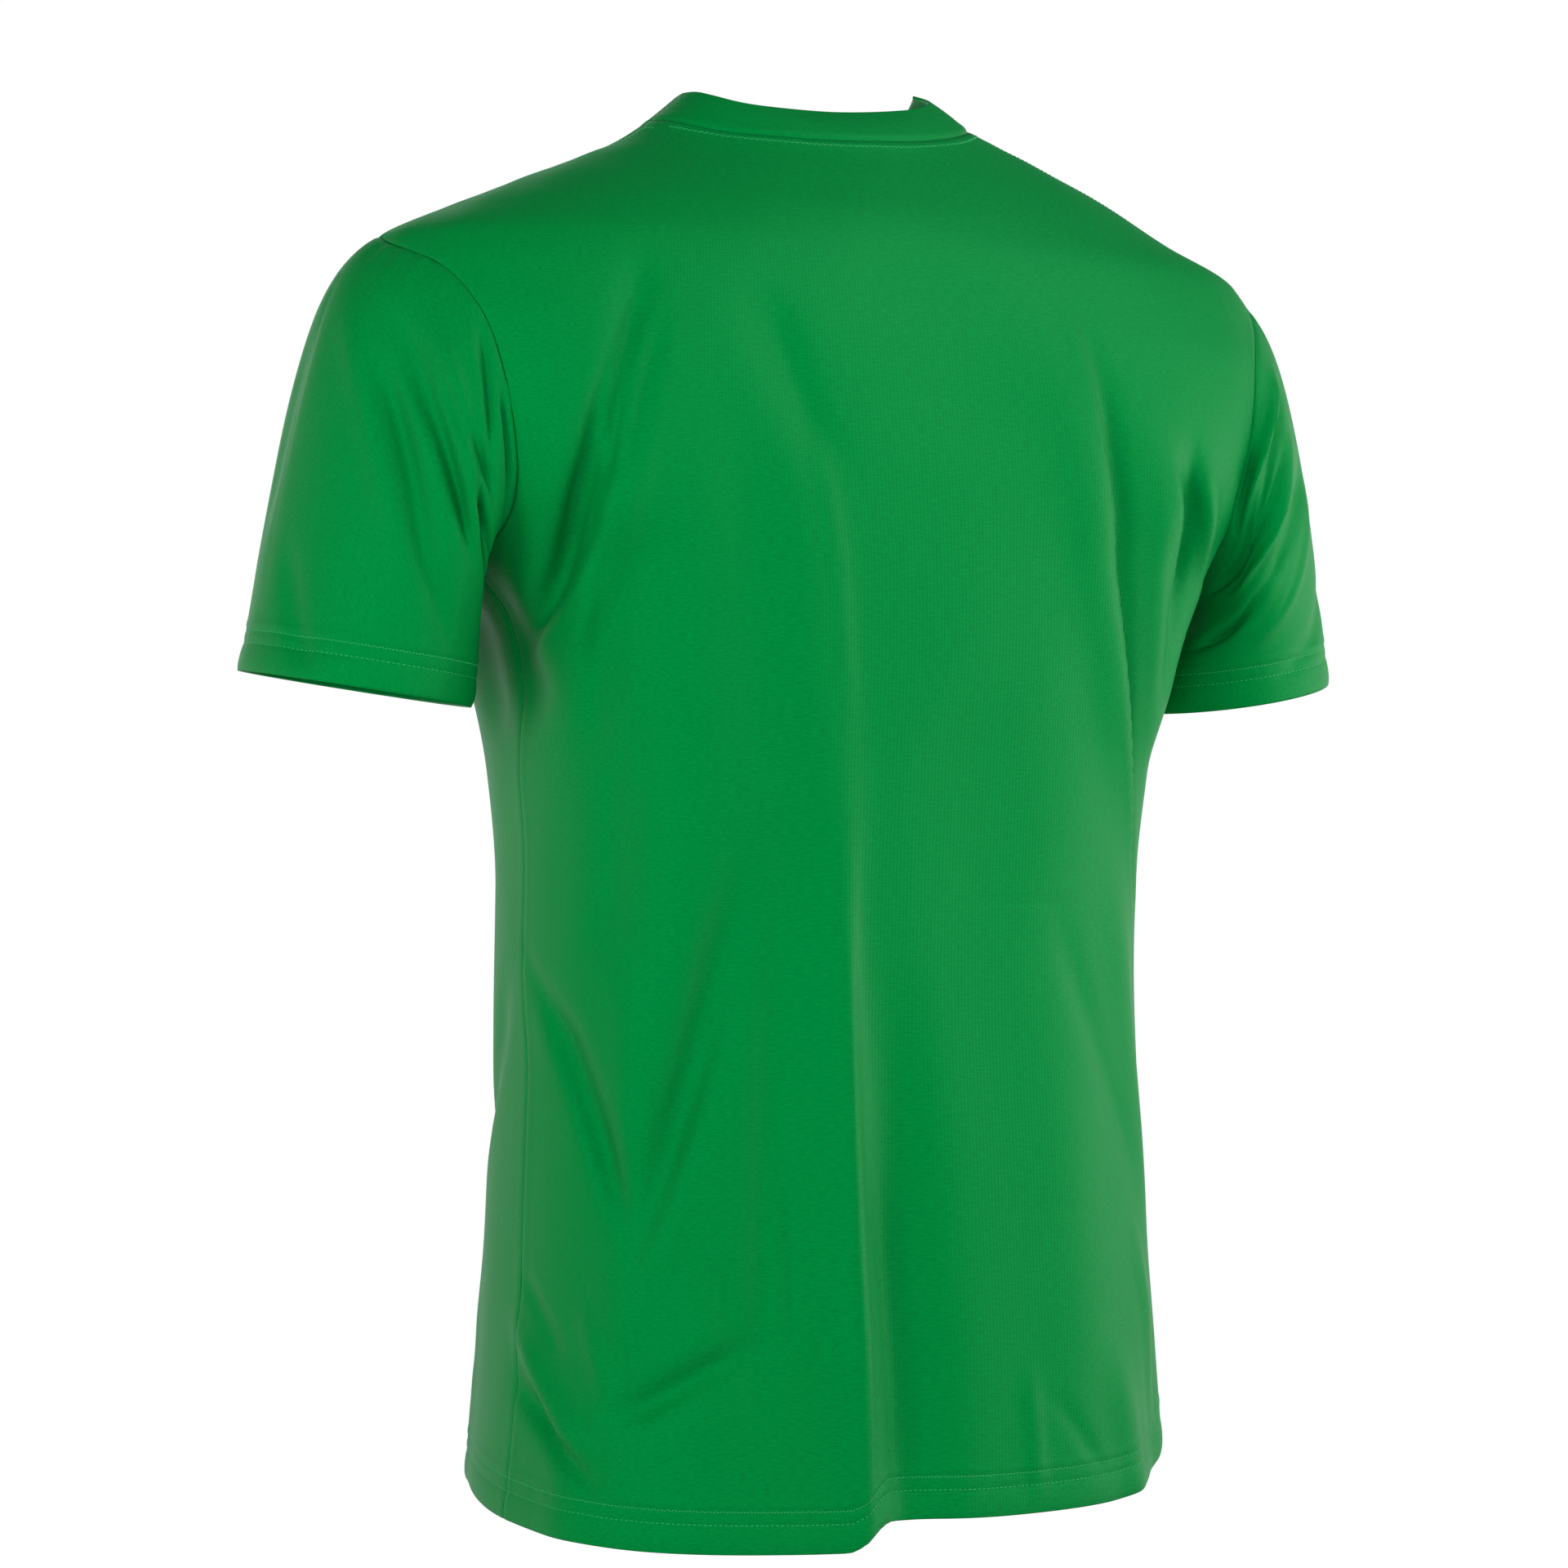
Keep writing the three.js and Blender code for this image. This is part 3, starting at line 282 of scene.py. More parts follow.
def column(rows, key, name, at):
    """Smooth value of a column between the rows of a table, with no overshoot."""
    x = rows[key]
    y = rows[name]
    slope = np.diff(y) / np.diff(x)
    before = slope[:-1]
    after = slope[1:]
    same = before * after > 0
    middle = np.where(same, 2 * before * after / np.where(same, before + after, 1), 0)
    tangent = np.concatenate([slope[:1], middle, slope[-1:]])
    at = np.clip(at, x[0], x[-1])
    i = np.clip(np.searchsorted(x, at, side="right") - 1, 0, len(x) - 2)
    span = x[i + 1] - x[i]
    t = (at - x[i]) / span
    t2 = t * t
    t3 = t2 * t
    start = (2 * t3 - 3 * t2 + 1) * y[i] + (t3 - 2 * t2 + t) * span * tangent[i]
    return start + (3 * t2 - 2 * t3) * y[i + 1] + (t3 - t2) * span * tangent[i + 1]


def section(name, down):
    return column(BODY_SECTIONS, "down", name, down)


def hem_down(bearing):
    return column(HEM_LEVELS, "bearing", "down", (bearing + 540) % 360 - 180)


def body_form(bearing, down):
    """The body without folds."""
    turn = np.radians(bearing)
    square = section("square", down)
    depth = np.where(np.cos(turn) >= 0, section("back", down), section("front", down))
    across = (1 + square) * np.sin(turn) + square * np.sin(3 * turn)
    along = (1 + square) * np.cos(turn) - square * np.cos(3 * turn)
    x = -section("shift", down) - section("half", down) * across
    y = section("middle", down) + depth * along
    return np.stack([x, y, section("lean", down) * across - down], axis=-1)


def unit(vectors):
    return vectors / np.linalg.norm(vectors, axis=-1, keepdims=True)


def normal_of(surface, a, b, step_a, step_b):
    """Unit normal of a surface of two parameters, pointing out."""
    along_a = surface(a + step_a, b) - surface(a - step_a, b)
    along_b = surface(a, b + step_b) - surface(a, b - step_b)
    return unit(np.cross(along_b, along_a))


# %% [markdown]
# ## The folds
# Cloth that is worn hangs from the shoulders and is pulled into the armpits, so its folds are drag
# lines and long uprights. Simulated cloth would fold somewhere else, so each fold of the photograph
# is placed as a soft ridge or trough on the flat cloth. Fold rows give the head, the foot,
# the sideways bow, the width, the height and how much steeper one side falls.

# %% Folds of the back
BACK_FOLDS = [
    # From the left shoulder blade into the armpit
    (-88, 74, -106, 232, 3, 7, -4, 1),
    (-97, 148, -180, 290, 16, 9, -9, 1.1),
    (-88, 150, -148, 304, 13, 8, 4.5, 1),
    (-98, 206, -130, 350, 4, 10, -3, 1),
    (-192, 236, -150, 326, 0, 14, -8, 1),
    # Long upright fold down to the hem beside the centre, and the soft folds above it
    (-27, 290, -20, 800, -1, 8, 6, 1.4),
    (-12, 400, 0, 810, 0, 9, -7, 1),
    (-38, 130, -22, 420, -5, 9, 2.5, 1),
    (-44, 320, -58, 720, 4, 10, -3.5, 1),
    (-52, 90, -26, 210, 0, 8, -3, 1),
    (-56, 140, -54, 370, 0, 10, -2, 1),
    # Long lapped crease down the right
    (46, 100, 98, 410, -10, 10, 4.5, 2.4),
    (57, 116, 110, 400, -10, 9, -4, 0.8),
    (92, 154, 116, 292, 2, 7, -5, 1),
    (79, 156, 104, 336, 0, 7, 3.5, 1),
    (100, 168, 132, 266, 5, 7, 3, 1),
    (166, 186, 95, 352, -4, 11, 5, 1),
    (76, 370, 110, 600, -4, 9, 3, 1),
    (66, 620, 86, 760, 0, 8, 3.5, 1),
    (98, 610, 108, 780, 0, 11, -3.5, 1),
    (120, 396, 142, 610, 3, 14, -4, 1),
    # Drag lines that meet above the left hip, and the creases below them
    (-160, 436, -102, 574, 8, 8, -5.5, 1),
    (-56, 384, -96, 558, 7, 12, -6, 1),
    (-102, 430, -104, 566, 3, 11, 3.5, 1),
    (-92, 548, -112, 640, 0, 13, 3, 1),
    (-44, 618, -120, 664, 3, 8, -4, 1),
    (-180, 606, -118, 700, 4, 7, 3.5, 1),
    (-178, 640, -112, 702, 2, 7, -4, 1),
    # Soft hang of the cloth
    (-76, 240, -84, 480, 3, 18, 3, 1),
    (-112, 310, -114, 450, 2, 12, -2.5, 1),
    (18, 260, 22, 560, -4, 18, -2.5, 1),
    (48, 430, 56, 790, 0, 18, 3, 1),
    (-132, 640, -142, 800, 0, 14, 3, 1),
    (-6, 50, 16, 200, 6, 22, -2.5, 1),
]

# %% Folds of the front
FRONT_FOLDS = [
    # Into both armpits from the chest
    (88, 118, 180, 282, -24, 11, -8, 1),
    (80, 160, 160, 292, -16, 9, 4, 1),
    (-84, 128, -176, 276, 22, 11, -7, 1),
    (-74, 150, -150, 286, 14, 10, 4, 1),
    (190, 240, 156, 330, 0, 13, -6, 1),
    # Uprights from the chest to the hem
    (34, 330, 26, 790, 0, 12, 5, 1.4),
    (48, 420, 44, 800, 0, 10, -5, 1),
    (-58, 270, -86, 640, -8, 12, 4, 0.6),
    (-74, 280, -102, 640, -8, 9, -4, 1),
    (-20, 520, -16, 790, 0, 13, 4, 1),
    (-44, 560, -40, 790, 0, 12, -4, 1),
    (110, 560, 118, 790, 0, 13, 4, 1),
    # Drag lines towards the hips
    (-160, 450, -96, 590, 6, 10, -4, 1),
    (156, 430, 92, 560, 6, 10, -4, 1),
    (60, 590, 120, 650, 0, 9, -3, 1),
    # Soft hang below the neck
    (6, 110, -4, 300, 6, 26, -3, 1),
    (60, 210, 70, 470, 6, 20, 3, 1),
]

# %% [markdown]
# Sharper creases lie on and beside the large folds. They are too small for the solid walls, so they
# are only here. Their rows have the same columns, and the front, which the photograph hides, has
# fewer of the same kind.

# %% Finer creases of the back
BACK_CREASES = [
    # Fan of creases that gathers into the left armpit
    (-85, 84, -104, 208, 1, 3.2, -3.6, 1),
    (-80, 112, -99, 210, 2, 3.0, -3.2, 1),
    (-83, 108, -102, 214, 1, 2.6, 2.6, 1),
    (-94, 126, -112, 196, 0, 3.4, -2.6, 1),
    (-90, 116, -106, 200, 0, 2.6, 2.0, 1),
    (-97, 150, -172, 290, 10, 3.8, -6.5, 1),
    (-94, 176, -150, 284, 9, 4.0, 2.4, 1),
    (-107, 206, -126, 320, 2, 5.0, -2.2, 1),
    # Beside the long upright fold
    (-43, 520, -43, 650, 0, 1.9, -1.8, 1),
    (-46, 520, -46, 640, 0, 1.6, 0.9, 1),
    (-45, 380, -58, 690, 3, 4.5, -1.6, 1),
    (-14, 500, -7, 770, 0, 4.6, -4.4, 1),
    (-23, 340, -19, 800, -2, 2.8, 3.2, 1.4),
    (-33, 140, -24, 350, 0, 2.8, 1.3, 1),
    (-46, 100, -28, 190, 0, 3.4, -1.4, 1),
    # Edge of the lapped crease
    (50, 70, 102, 430, -10, 3.6, 3.4, 2.2),
    (55, 80, 107, 430, -10, 3.4, -3.8, 0.7),
    (74, 260, 104, 420, -2, 4.0, -2.0, 1),
    # Beside the right armhole
    (96, 164, 116, 258, 0, 4.0, -3.4, 1),
    (84, 168, 104, 266, 0, 3.6, 2.0, 1),
    (92, 166, 140, 254, 0, 4.0, 2.0, 1),
    # Left hip
    (-178, 416, -94, 604, 11, 4.6, -2.6, 1),
    (-54, 348, -112, 622, 9, 7.5, -5.4, 1),
    (-66, 470, -98, 610, 3, 7.0, 2.4, 1),
    (-168, 590, -136, 636, 0, 4.0, -2.4, 1),
    (-172, 646, -116, 700, 2, 3.4, -3.2, 1),
    (-172, 618, -124, 692, 2, 4.0, 1.8, 1),
    (-50, 618, -116, 666, 2, 5.0, -2.2, 1),
    (-70, 572, -60, 636, 0, 5.0, -1.8, 1),
    (-128, 600, -112, 660, 0, 5.0, 1.6, 1),
    # Right hip
    (30, 634, 34, 716, 0, 2.4, 1.8, 1),
    (36, 650, 60, 700, 0, 3.0, -1.4, 1),
    (40, 390, 94, 566, -3, 6.0, -1.6, 1),
    (84, 560, 104, 700, 3, 5.0, 2.0, 1),
    (112, 470, 130, 600, 2, 5.0, -2.2, 1),
    # Faint lines left by folding
    (-60, 150, 30, 152, 0, 1.6, -0.4, 1),
    (6, 404, 66, 409, 0, 1.6, -0.6, 1),
    (-30, 298, 40, 300, 0, 1.6, -0.35, 1),
    (-96, 470, -34, 466, 2, 1.8, -0.45, 1),
    (10, 560, 70, 566, 0, 1.8, -0.4, 1),
    (-70, 240, -20, 236, -3, 1.8, -0.35, 1),
]

# %% Finer creases of the front
FRONT_CREASES = [
    (86, 112, 150, 236, -12, 3.6, -3.4, 1),
    (92, 128, 132, 214, -6, 3.0, 2.0, 1),
    (76, 150, 128, 250, -8, 3.4, -2.0, 1),
    (-82, 122, -148, 238, 12, 3.6, -3.0, 1),
    (-74, 150, -124, 250, 8, 3.4, 1.8, 1),
    (31, 400, 28, 780, 0, 3.0, 2.0, 1.4),
    (42, 520, 38, 760, 0, 4.6, -2.4, 1),
    (-64, 340, -90, 640, -4, 3.4, -1.8, 1),
    (-158, 470, -104, 580, 6, 3.6, -2.6, 1),
    (152, 460, 100, 566, 6, 3.6, -2.4, 1),
    (120, 640, 70, 690, 0, 3.6, -2.0, 1),
    (-60, 300, 20, 302, 0, 1.6, -0.4, 1),
]

# %% Raise the folds on the body
FOLD_FADE = 0.35


def ramp_up(t):
    t = np.clip(t, 0, 1)
    return t * t * (3 - 2 * t)


def fold_height(fold, x, y, scale=(1, 1)):
    """Height of one fold at places (x, y) of the flat cloth."""
    x0, y0, x1, y1, bow, width, height, steep = fold
    x0, x1 = x0 * scale[0], x1 * scale[0]
    y0, y1 = y0 * scale[1], y1 * scale[1]
    length = math.hypot(x1 - x0, y1 - y0)
    along = ((x - x0) * (x1 - x0) + (y - y0) * (y1 - y0)) / (length * length)
    off = ((x - x0) * (y1 - y0) - (y - y0) * (x1 - x0)) / length
    aside = off - bow * 4 * along * (1 - along)
    spread = np.where(aside > 0, width / steep, width)
    taper = ramp_up(along / FOLD_FADE) * ramp_up((1 - along) / FOLD_FADE)
    return height * taper * np.exp(-((aside / spread) ** 2))


def body_folds(bearing, down):
    """Folds of the body at a bearing and level, from the flat back and the flat front."""
    half = section("half", down)
    turned = np.where(bearing < -180, bearing + 360, bearing)
    from_front = np.where(turned < 0, turned + 180, turned - 180)
    height = sum(fold_height(fold, turned / 90 * half, down) for fold in BACK_FOLDS)
    return height + sum(fold_height(fold, from_front / 90 * half, down) for fold in FRONT_FOLDS)


def add_folds(folds, x, y):
    return sum(fold_height(fold, x, y) for fold in folds)


def body_outer(bearing, down):
    """Outer face of the body, with its folds."""
    normal = normal_of(body_form, bearing, down, 0.5, 0.5)
    return body_form(bearing, down) + normal * body_folds(bearing, down)[..., None]


print(len(BACK_FOLDS), "folds on the back,", len(FRONT_FOLDS), "on the front")

# %% [markdown]
# ## Stations along the seams
# Pieces that are sewn together share their seam, so each seam is drawn once, as a smooth line
# through a few points of bearing and level, and both neighbours take their edge from it.

# %% Walk along a seam at shares of its true length


def smooth_line(points, shares):
    """Centripetal spline through points, at shares from 0 to 1 counted evenly from point to point."""
    points = np.array(points, float)
    ends = np.vstack([2 * points[0] - points[1], points, 2 * points[-1] - points[-2]])
    place = np.clip(shares, 0, 1) * (len(points) - 1)
    i = np.minimum(place.astype(int), len(points) - 2)
    t = (place - i)[:, None]
    p0, p1, p2, p3 = ends[i], ends[i + 1], ends[i + 2], ends[i + 3]
    d0 = np.sqrt(np.linalg.norm(p1 - p0, axis=1))[:, None]
    d1 = np.sqrt(np.linalg.norm(p2 - p1, axis=1))[:, None]
    d2 = np.sqrt(np.linalg.norm(p3 - p2, axis=1))[:, None]
    leave = ((p1 - p0) / d0 - (p2 - p0) / (d0 + d1) + (p2 - p1) / d1) * d1
    arrive = ((p2 - p1) / d1 - (p3 - p1) / (d1 + d2) + (p3 - p2) / d2) * d1
    t2 = t * t
    t3 = t2 * t
    curve = (2 * t3 - 3 * t2 + 1) * p1 + (t3 - 2 * t2 + t) * leave
    return curve + (3 * t2 - 2 * t3) * p2 + (t3 - t2) * arrive


def stations(points, shares):
    """Bearings and levels at shares of the true length of a seam."""
    fine = smooth_line(points, np.linspace(0, 1, 600))
    places = body_form(fine[:, 0], fine[:, 1])
    steps = np.linalg.norm(np.diff(places, axis=0), axis=1)
    length = np.concatenate([[0], np.cumsum(steps)])
    at = shares * length[-1]
    return np.stack([np.interp(at, length, fine[:, k]) for k in (0, 1)], axis=-1)


SIGN = {"left": -1, "right": 1}


def shoulder_seam(side, shares):
    """Shoulder seam from the neck out to the shoulder point."""
    down = SHOULDER_POINT * shares
    behind = column(SHOULDER_SEAMS, "down", side, down)
    depth = np.where(behind >= 0, section("back", down), section("front", down))
    bearing = SIGN[side] * np.degrees(np.arccos(behind / depth))
    return np.stack([bearing, down], axis=-1)


def side_seam(side, down):
    """Side seam at levels from the hem up to the armpit."""
    bearing = SIGN[side] * column(SIDE_SEAMS, "down", side, down)
    return np.stack([bearing, down], axis=-1)


def armhole_seam(side, rows, shares):
    """Armhole seam from the armpit to the shoulder point."""
    start = side_seam(side, np.array([ARMPIT]))[0]
    end = shoulder_seam(side, np.array([1.0]))[0]
    points = [start, *[(SIGN[side] * bearing, down) for bearing, down in rows], end]
    return stations(points, shares)


def through_front(points):
    """The same places, reached through the front instead of the back."""
    return points - np.array([360, 0])


def neck_seam(rows, start, end, shares):
    """Neck seam of a panel between two high shoulder points."""
    across = np.array([row[0] for row in rows], float)
    down = np.array([row[1] for row in rows], float)
    turn = np.degrees(np.arcsin(across / section("half", down)))
    bearing = -180 - turn if end[0] < 0 else turn
    return stations([start, *np.stack([bearing, down], axis=-1), end], shares)


high_left = shoulder_seam("left", np.array([0.0]))[0]
high_right = shoulder_seam("right", np.array([0.0]))[0]
print("high shoulder points at bearings", round(high_left[0], 1), round(high_right[0], 1))

# %% [markdown]
# ## A panel as a net of threads
# A panel of cloth can be meshed as a net: threads run from the hem up to the neck, others run across
# from seam to seam. Rows stand close together where the cloth bends most, at the hem and where it
# rolls into a seam, and further apart on the open cloth.

# %% Spacing of rows and threads


def spaced(start_steps, end_steps, length, step):
    """Places from 0 to length: the given close steps at each end, even ones of about step between."""
    head = np.concatenate([[0], np.cumsum(start_steps)])
    tail = length - np.concatenate([[0], np.cumsum(end_steps)])[::-1]
    count = max(int(round((tail[0] - head[-1]) / step)), 1)
    return np.concatenate([head, np.linspace(head[-1], tail[0], count + 1)[1:-1], tail])


SEAM_STEPS = [0.7, 0.8, 1.0, 1.4, 2.0]
HEM_STEPS = [0.8, 1.0] + [1.3] * 22
BACK_STEP = 2.9
FRONT_STEP = 3.6
NET_WIDTH = 500
ARMHOLE_LENGTH = 190
SHOULDER_SHARE = 0.235
NEAR_HEM = 740
print("close steps beside a seam add up to", round(sum(SEAM_STEPS), 1), "mm")

# %% Weave the net of a panel


def lay_flat(points, middle):
    """Bearing and level to distance across and level on the flat cloth."""
    return np.stack([(points[..., 0] - middle) / 90 * section("half", points[..., 1]), points[..., 1]], -1)


def lay_round(flat, middle):
    return np.stack([middle + 90 * flat[..., 0] / section("half", flat[..., 1]), flat[..., 1]], -1)


def weave_patch(left, right, bottom, top, u, v, middle):
    """Net between four edges. u and v are the shares across and up."""
    left, right, low, high = [lay_flat(edge, middle) for edge in (left, right, bottom, top)]
    u = u[None, :, None]
    v = v[:, None, None]
    straight = low[None] * (1 - v) + high[None] * v
    off_left = (left - (low[0] * (1 - v[:, 0]) + high[0] * v[:, 0]))[:, None]
    off_right = (right - (low[-1] * (1 - v[:, 0]) + high[-1] * v[:, 0]))[:, None]
    near_left = np.clip(1 - 2 * u, 0, 1) ** 2
    near_right = np.clip(2 * u - 1, 0, 1) ** 2
    across = straight[..., 0:1] + off_left[..., 0:1] * near_left + off_right[..., 0:1] * near_right
    down = straight[..., 1:2] + off_left[..., 1:2] * (1 - u) + off_right[..., 1:2] * u
    return lay_round(np.concatenate([across, down], axis=-1), middle)


def weave_panel(armhole_rows, neck_rows, middle, step):
    """Net of bearings and levels from the hem to the shoulder and neck seams."""
    move = through_front if middle else (lambda points: points)
    beside_seam = [s / NET_WIDTH for s in SEAM_STEPS]
    u = spaced(beside_seam, beside_seam, 1.0, step / NET_WIDTH)
    on_left = np.clip(1 - u / SHOULDER_SHARE, 0, 1)
    on_right = np.clip((u - 1 + SHOULDER_SHARE) / SHOULDER_SHARE, 0, 1)
    on_neck = (u - SHOULDER_SHARE) / (1 - 2 * SHOULDER_SHARE)
    top = neck_seam(neck_rows, high_left, move(high_right), np.clip(on_neck, 0, 1))
    top = np.where((on_left > 0)[:, None], shoulder_seam("left", on_left), top)
    top = np.where((on_right > 0)[:, None], move(shoulder_seam("right", on_right)), top)
    pit_left = side_seam("left", np.array([ARMPIT]))[0]
    pit_right = move(side_seam("right", np.array([ARMPIT]))[0])
    level = pit_left + (pit_right - pit_left) * u[:, None]

    low = hem_down(np.array([SIGN[side] * column(SIDE_SEAMS, "down", side, NEAR_HEM) for side in SIGN]))
    length = low.mean() - ARMPIT
    rise = spaced(HEM_STEPS, [step], length, step)
    sides = [side_seam(side, hem - (hem - ARMPIT) * rise / length) for side, hem in zip(SIGN, low)]
    hem_bearing = sides[0][0, 0] + (move(sides[1])[0, 0] - sides[0][0, 0]) * u
    hem = np.stack([hem_bearing, hem_down(hem_bearing)], axis=-1)
    lower = weave_patch(sides[0], move(sides[1]), hem, level, u, rise / length, middle)
    climb = spaced([step], SEAM_STEPS[::-1], ARMHOLE_LENGTH, step) / ARMHOLE_LENGTH
    holes = [armhole_seam(side, armhole_rows, climb) for side in SIGN]
    upper = weave_patch(holes[0], move(holes[1]), level, top, u, climb, middle)
    return np.concatenate([lower, upper[1:]])


back_net = weave_panel(BACK_ARMHOLE, BACK_NECK, 0, BACK_STEP)
front_net = weave_panel(FRONT_ARMHOLE, FRONT_NECK, -180, FRONT_STEP)[:, ::-1]
print("back net", back_net.shape[:2], "front net", front_net.shape[:2])

# %% [markdown]
# ## Hems and seams as relief
# A hem is turned up and sewn with two rows of stitches, which pull the cloth into two grooves with a
# soft roll between and below them. At a seam the cloth rolls in, and the allowance behind it lifts
# one side a little. Both are heights above the cloth, worked out from the distance to the edge.

# %% Distances along the net


def steps_along(grid, axis):
    """Running length of a grid of places along an axis, from its first row or thread."""
    lengths = np.linalg.norm(np.diff(grid, axis=axis), axis=-1)
    start = np.zeros_like(np.take(lengths, [0], axis=axis))
    return np.concatenate([start, np.cumsum(lengths, axis=axis)], axis=axis)


def distance_from_ends(grid, axis):
    along = steps_along(grid, axis)
    return along, np.take(along, [-1], axis=axis) - along


def bump(distance, middle, width):
    return np.exp(-(((distance - middle) / width) ** 2))


LOWER_STITCHES = 14.5
UPPER_STITCHES = 21.0


def hem_relief(height):
    """Rolls and stitched grooves of a hem, by the height above its edge."""
    roll = 0.5 * bump(height, 7.0, 5.5) - 0.5 * bump(height, 0.0, 1.6)
    grooves = 0.5 * bump(height, LOWER_STITCHES, 1.2) + 0.4 * bump(height, UPPER_STITCHES, 1.3)
    return roll - grooves + 0.3 * bump(height, UPPER_STITCHES + 3.2, 1.8)


def seam_relief(distance, lift):
    """The roll of the cloth into a seam, with the allowance behind it."""
    return lift * bump(distance, 3.6, 2.4) - 0.2 * bump(distance, 0.0, 0.8)


def waves(x, y, size, parts):
    """Slight unevenness: a few crossed waves of about the given size, the same on each run."""
    total = 0
    for k in range(parts):
        turn = 2.4 * k + 0.7
        length = size * (0.7 + 0.23 * k)
        phase = (x * math.cos(turn) + y * math.sin(turn)) / length * 2 * math.pi
        total = total + np.sin(phase + 1.7 * k + 0.9 * np.sin(phase * 0.31 + k))
    return total / parts


# %% [markdown]
# ## From a net to a shell of cloth
# A real knit is about a millimetre thick. Each net gets a second layer behind it, and at every seam
# both turn in towards the wearer as the seam allowance, so no light shows between two pieces. Blender's
# Solidify modifier could thicken the net too, but it would close the hem with a sharp square edge.

# %% Build a shell from a grid of places
CLOTH = 0.9
ALLOWANCE = 3.5
GAP = 0.08


def grid_normals(grid, wrap=False):
    """Unit normals of a grid by central differences. Rows climb and threads run to the right."""
    if wrap:
        around = np.roll(grid, -1, axis=1) - np.roll(grid, 1, axis=1)
    else:
        around = np.gradient(grid, axis=1)
    return unit(np.cross(around, np.gradient(grid, axis=0)))


def turned_in(edge, inner_neighbour, normal):
    """Two more lines of an edge: the seam allowance, turned to the inside of the garment."""
    back = unit(inner_neighbour - edge)
    first = edge - normal * 1.0 + back * GAP
    second = edge - normal * ALLOWANCE + back * (GAP + 0.3)
    return first, second


def shell_faces(rows, columns, wrap):
    """Quads of a front layer, a back layer and the rims between them."""
    index = np.arange(rows * columns).reshape(rows, columns)
    far = index + rows * columns
    if wrap:
        index = np.concatenate([index, index[:, :1]], axis=1)
        far = np.concatenate([far, far[:, :1]], axis=1)

    def quads(a, b, c, d):
        return np.stack([a, b, c, d], axis=-1).reshape(-1, 4)

    faces = [
        quads(index[:-1, :-1], index[:-1, 1:], index[1:, 1:], index[1:, :-1]),
        quads(far[:-1, :-1], far[1:, :-1], far[1:, 1:], far[:-1, 1:]),
        quads(index[0, :-1], far[0, :-1], far[0, 1:], index[0, 1:]),
        quads(index[-1, :-1], index[-1, 1:], far[-1, 1:], far[-1, :-1]),
    ]
    if not wrap:
        faces.append(quads(index[:-1, 0], index[1:, 0], far[1:, 0], far[:-1, 0]))
        faces.append(quads(index[:-1, -1], far[:-1, -1], far[1:, -1], index[1:, -1]))
    return np.concatenate(faces)


def new_piece(name, points, faces, flat, material):
    """A smooth mesh object in metres from places in millimetres, with the flat cloth as its UV map."""
    mesh = bpy.data.meshes.new(name)
    mesh.vertices.add(len(points))
    mesh.vertices.foreach_set("co", (points * MM).astype(np.float32).ravel())
    mesh.loops.add(faces.size)
    mesh.loops.foreach_set("vertex_index", faces.astype(np.int32).ravel())
    mesh.polygons.add(len(faces))
    sides = faces.shape[1]
    mesh.polygons.foreach_set("loop_start", np.arange(0, faces.size, sides, dtype=np.int32))
    mesh.polygons.foreach_set("use_smooth", np.ones(len(faces), dtype=bool))
    mesh.update(calc_edges=True)
    cloth_map = mesh.uv_layers.new(name="flat_cloth")
    cloth_map.data.foreach_set("uv", (flat[faces.ravel()] * MM).astype(np.float32).ravel())
    mesh.materials.append(material)
    mesh.validate()
    piece = bpy.data.objects.new(name, mesh)
    bpy.context.scene.collection.objects.link(piece)
    print(name, len(points), "points,", len(faces) * (sides - 2), "triangles")
    return piece


def cloth_shell(name, grid, flat, thickness, material, wrap=False):
    """A closed shell from a grid of places. thickness is a number or one value a place."""
    normals = grid_normals(grid, wrap)
    thickness = np.broadcast_to(thickness, grid.shape[:2])[..., None]
    layers = np.concatenate([grid.reshape(-1, 3), (grid - normals * thickness).reshape(-1, 3)])
    faces = shell_faces(*grid.shape[:2], wrap)
    both = np.concatenate([flat.reshape(-1, 2), flat.reshape(-1, 2)])
    return new_piece(name, layers, faces, both, material)


# %% [markdown]
# ## The knit
# The cloth is a fine polyester interlock: columns of tiny loops, too small to count from here, that
# give a soft grain and a satin sheen. The loops go into the bump, on the flat cloth's own
# coordinates, so they run down each piece as it was cut, and a faint mottling goes into the colour.

# %% Mix the knit


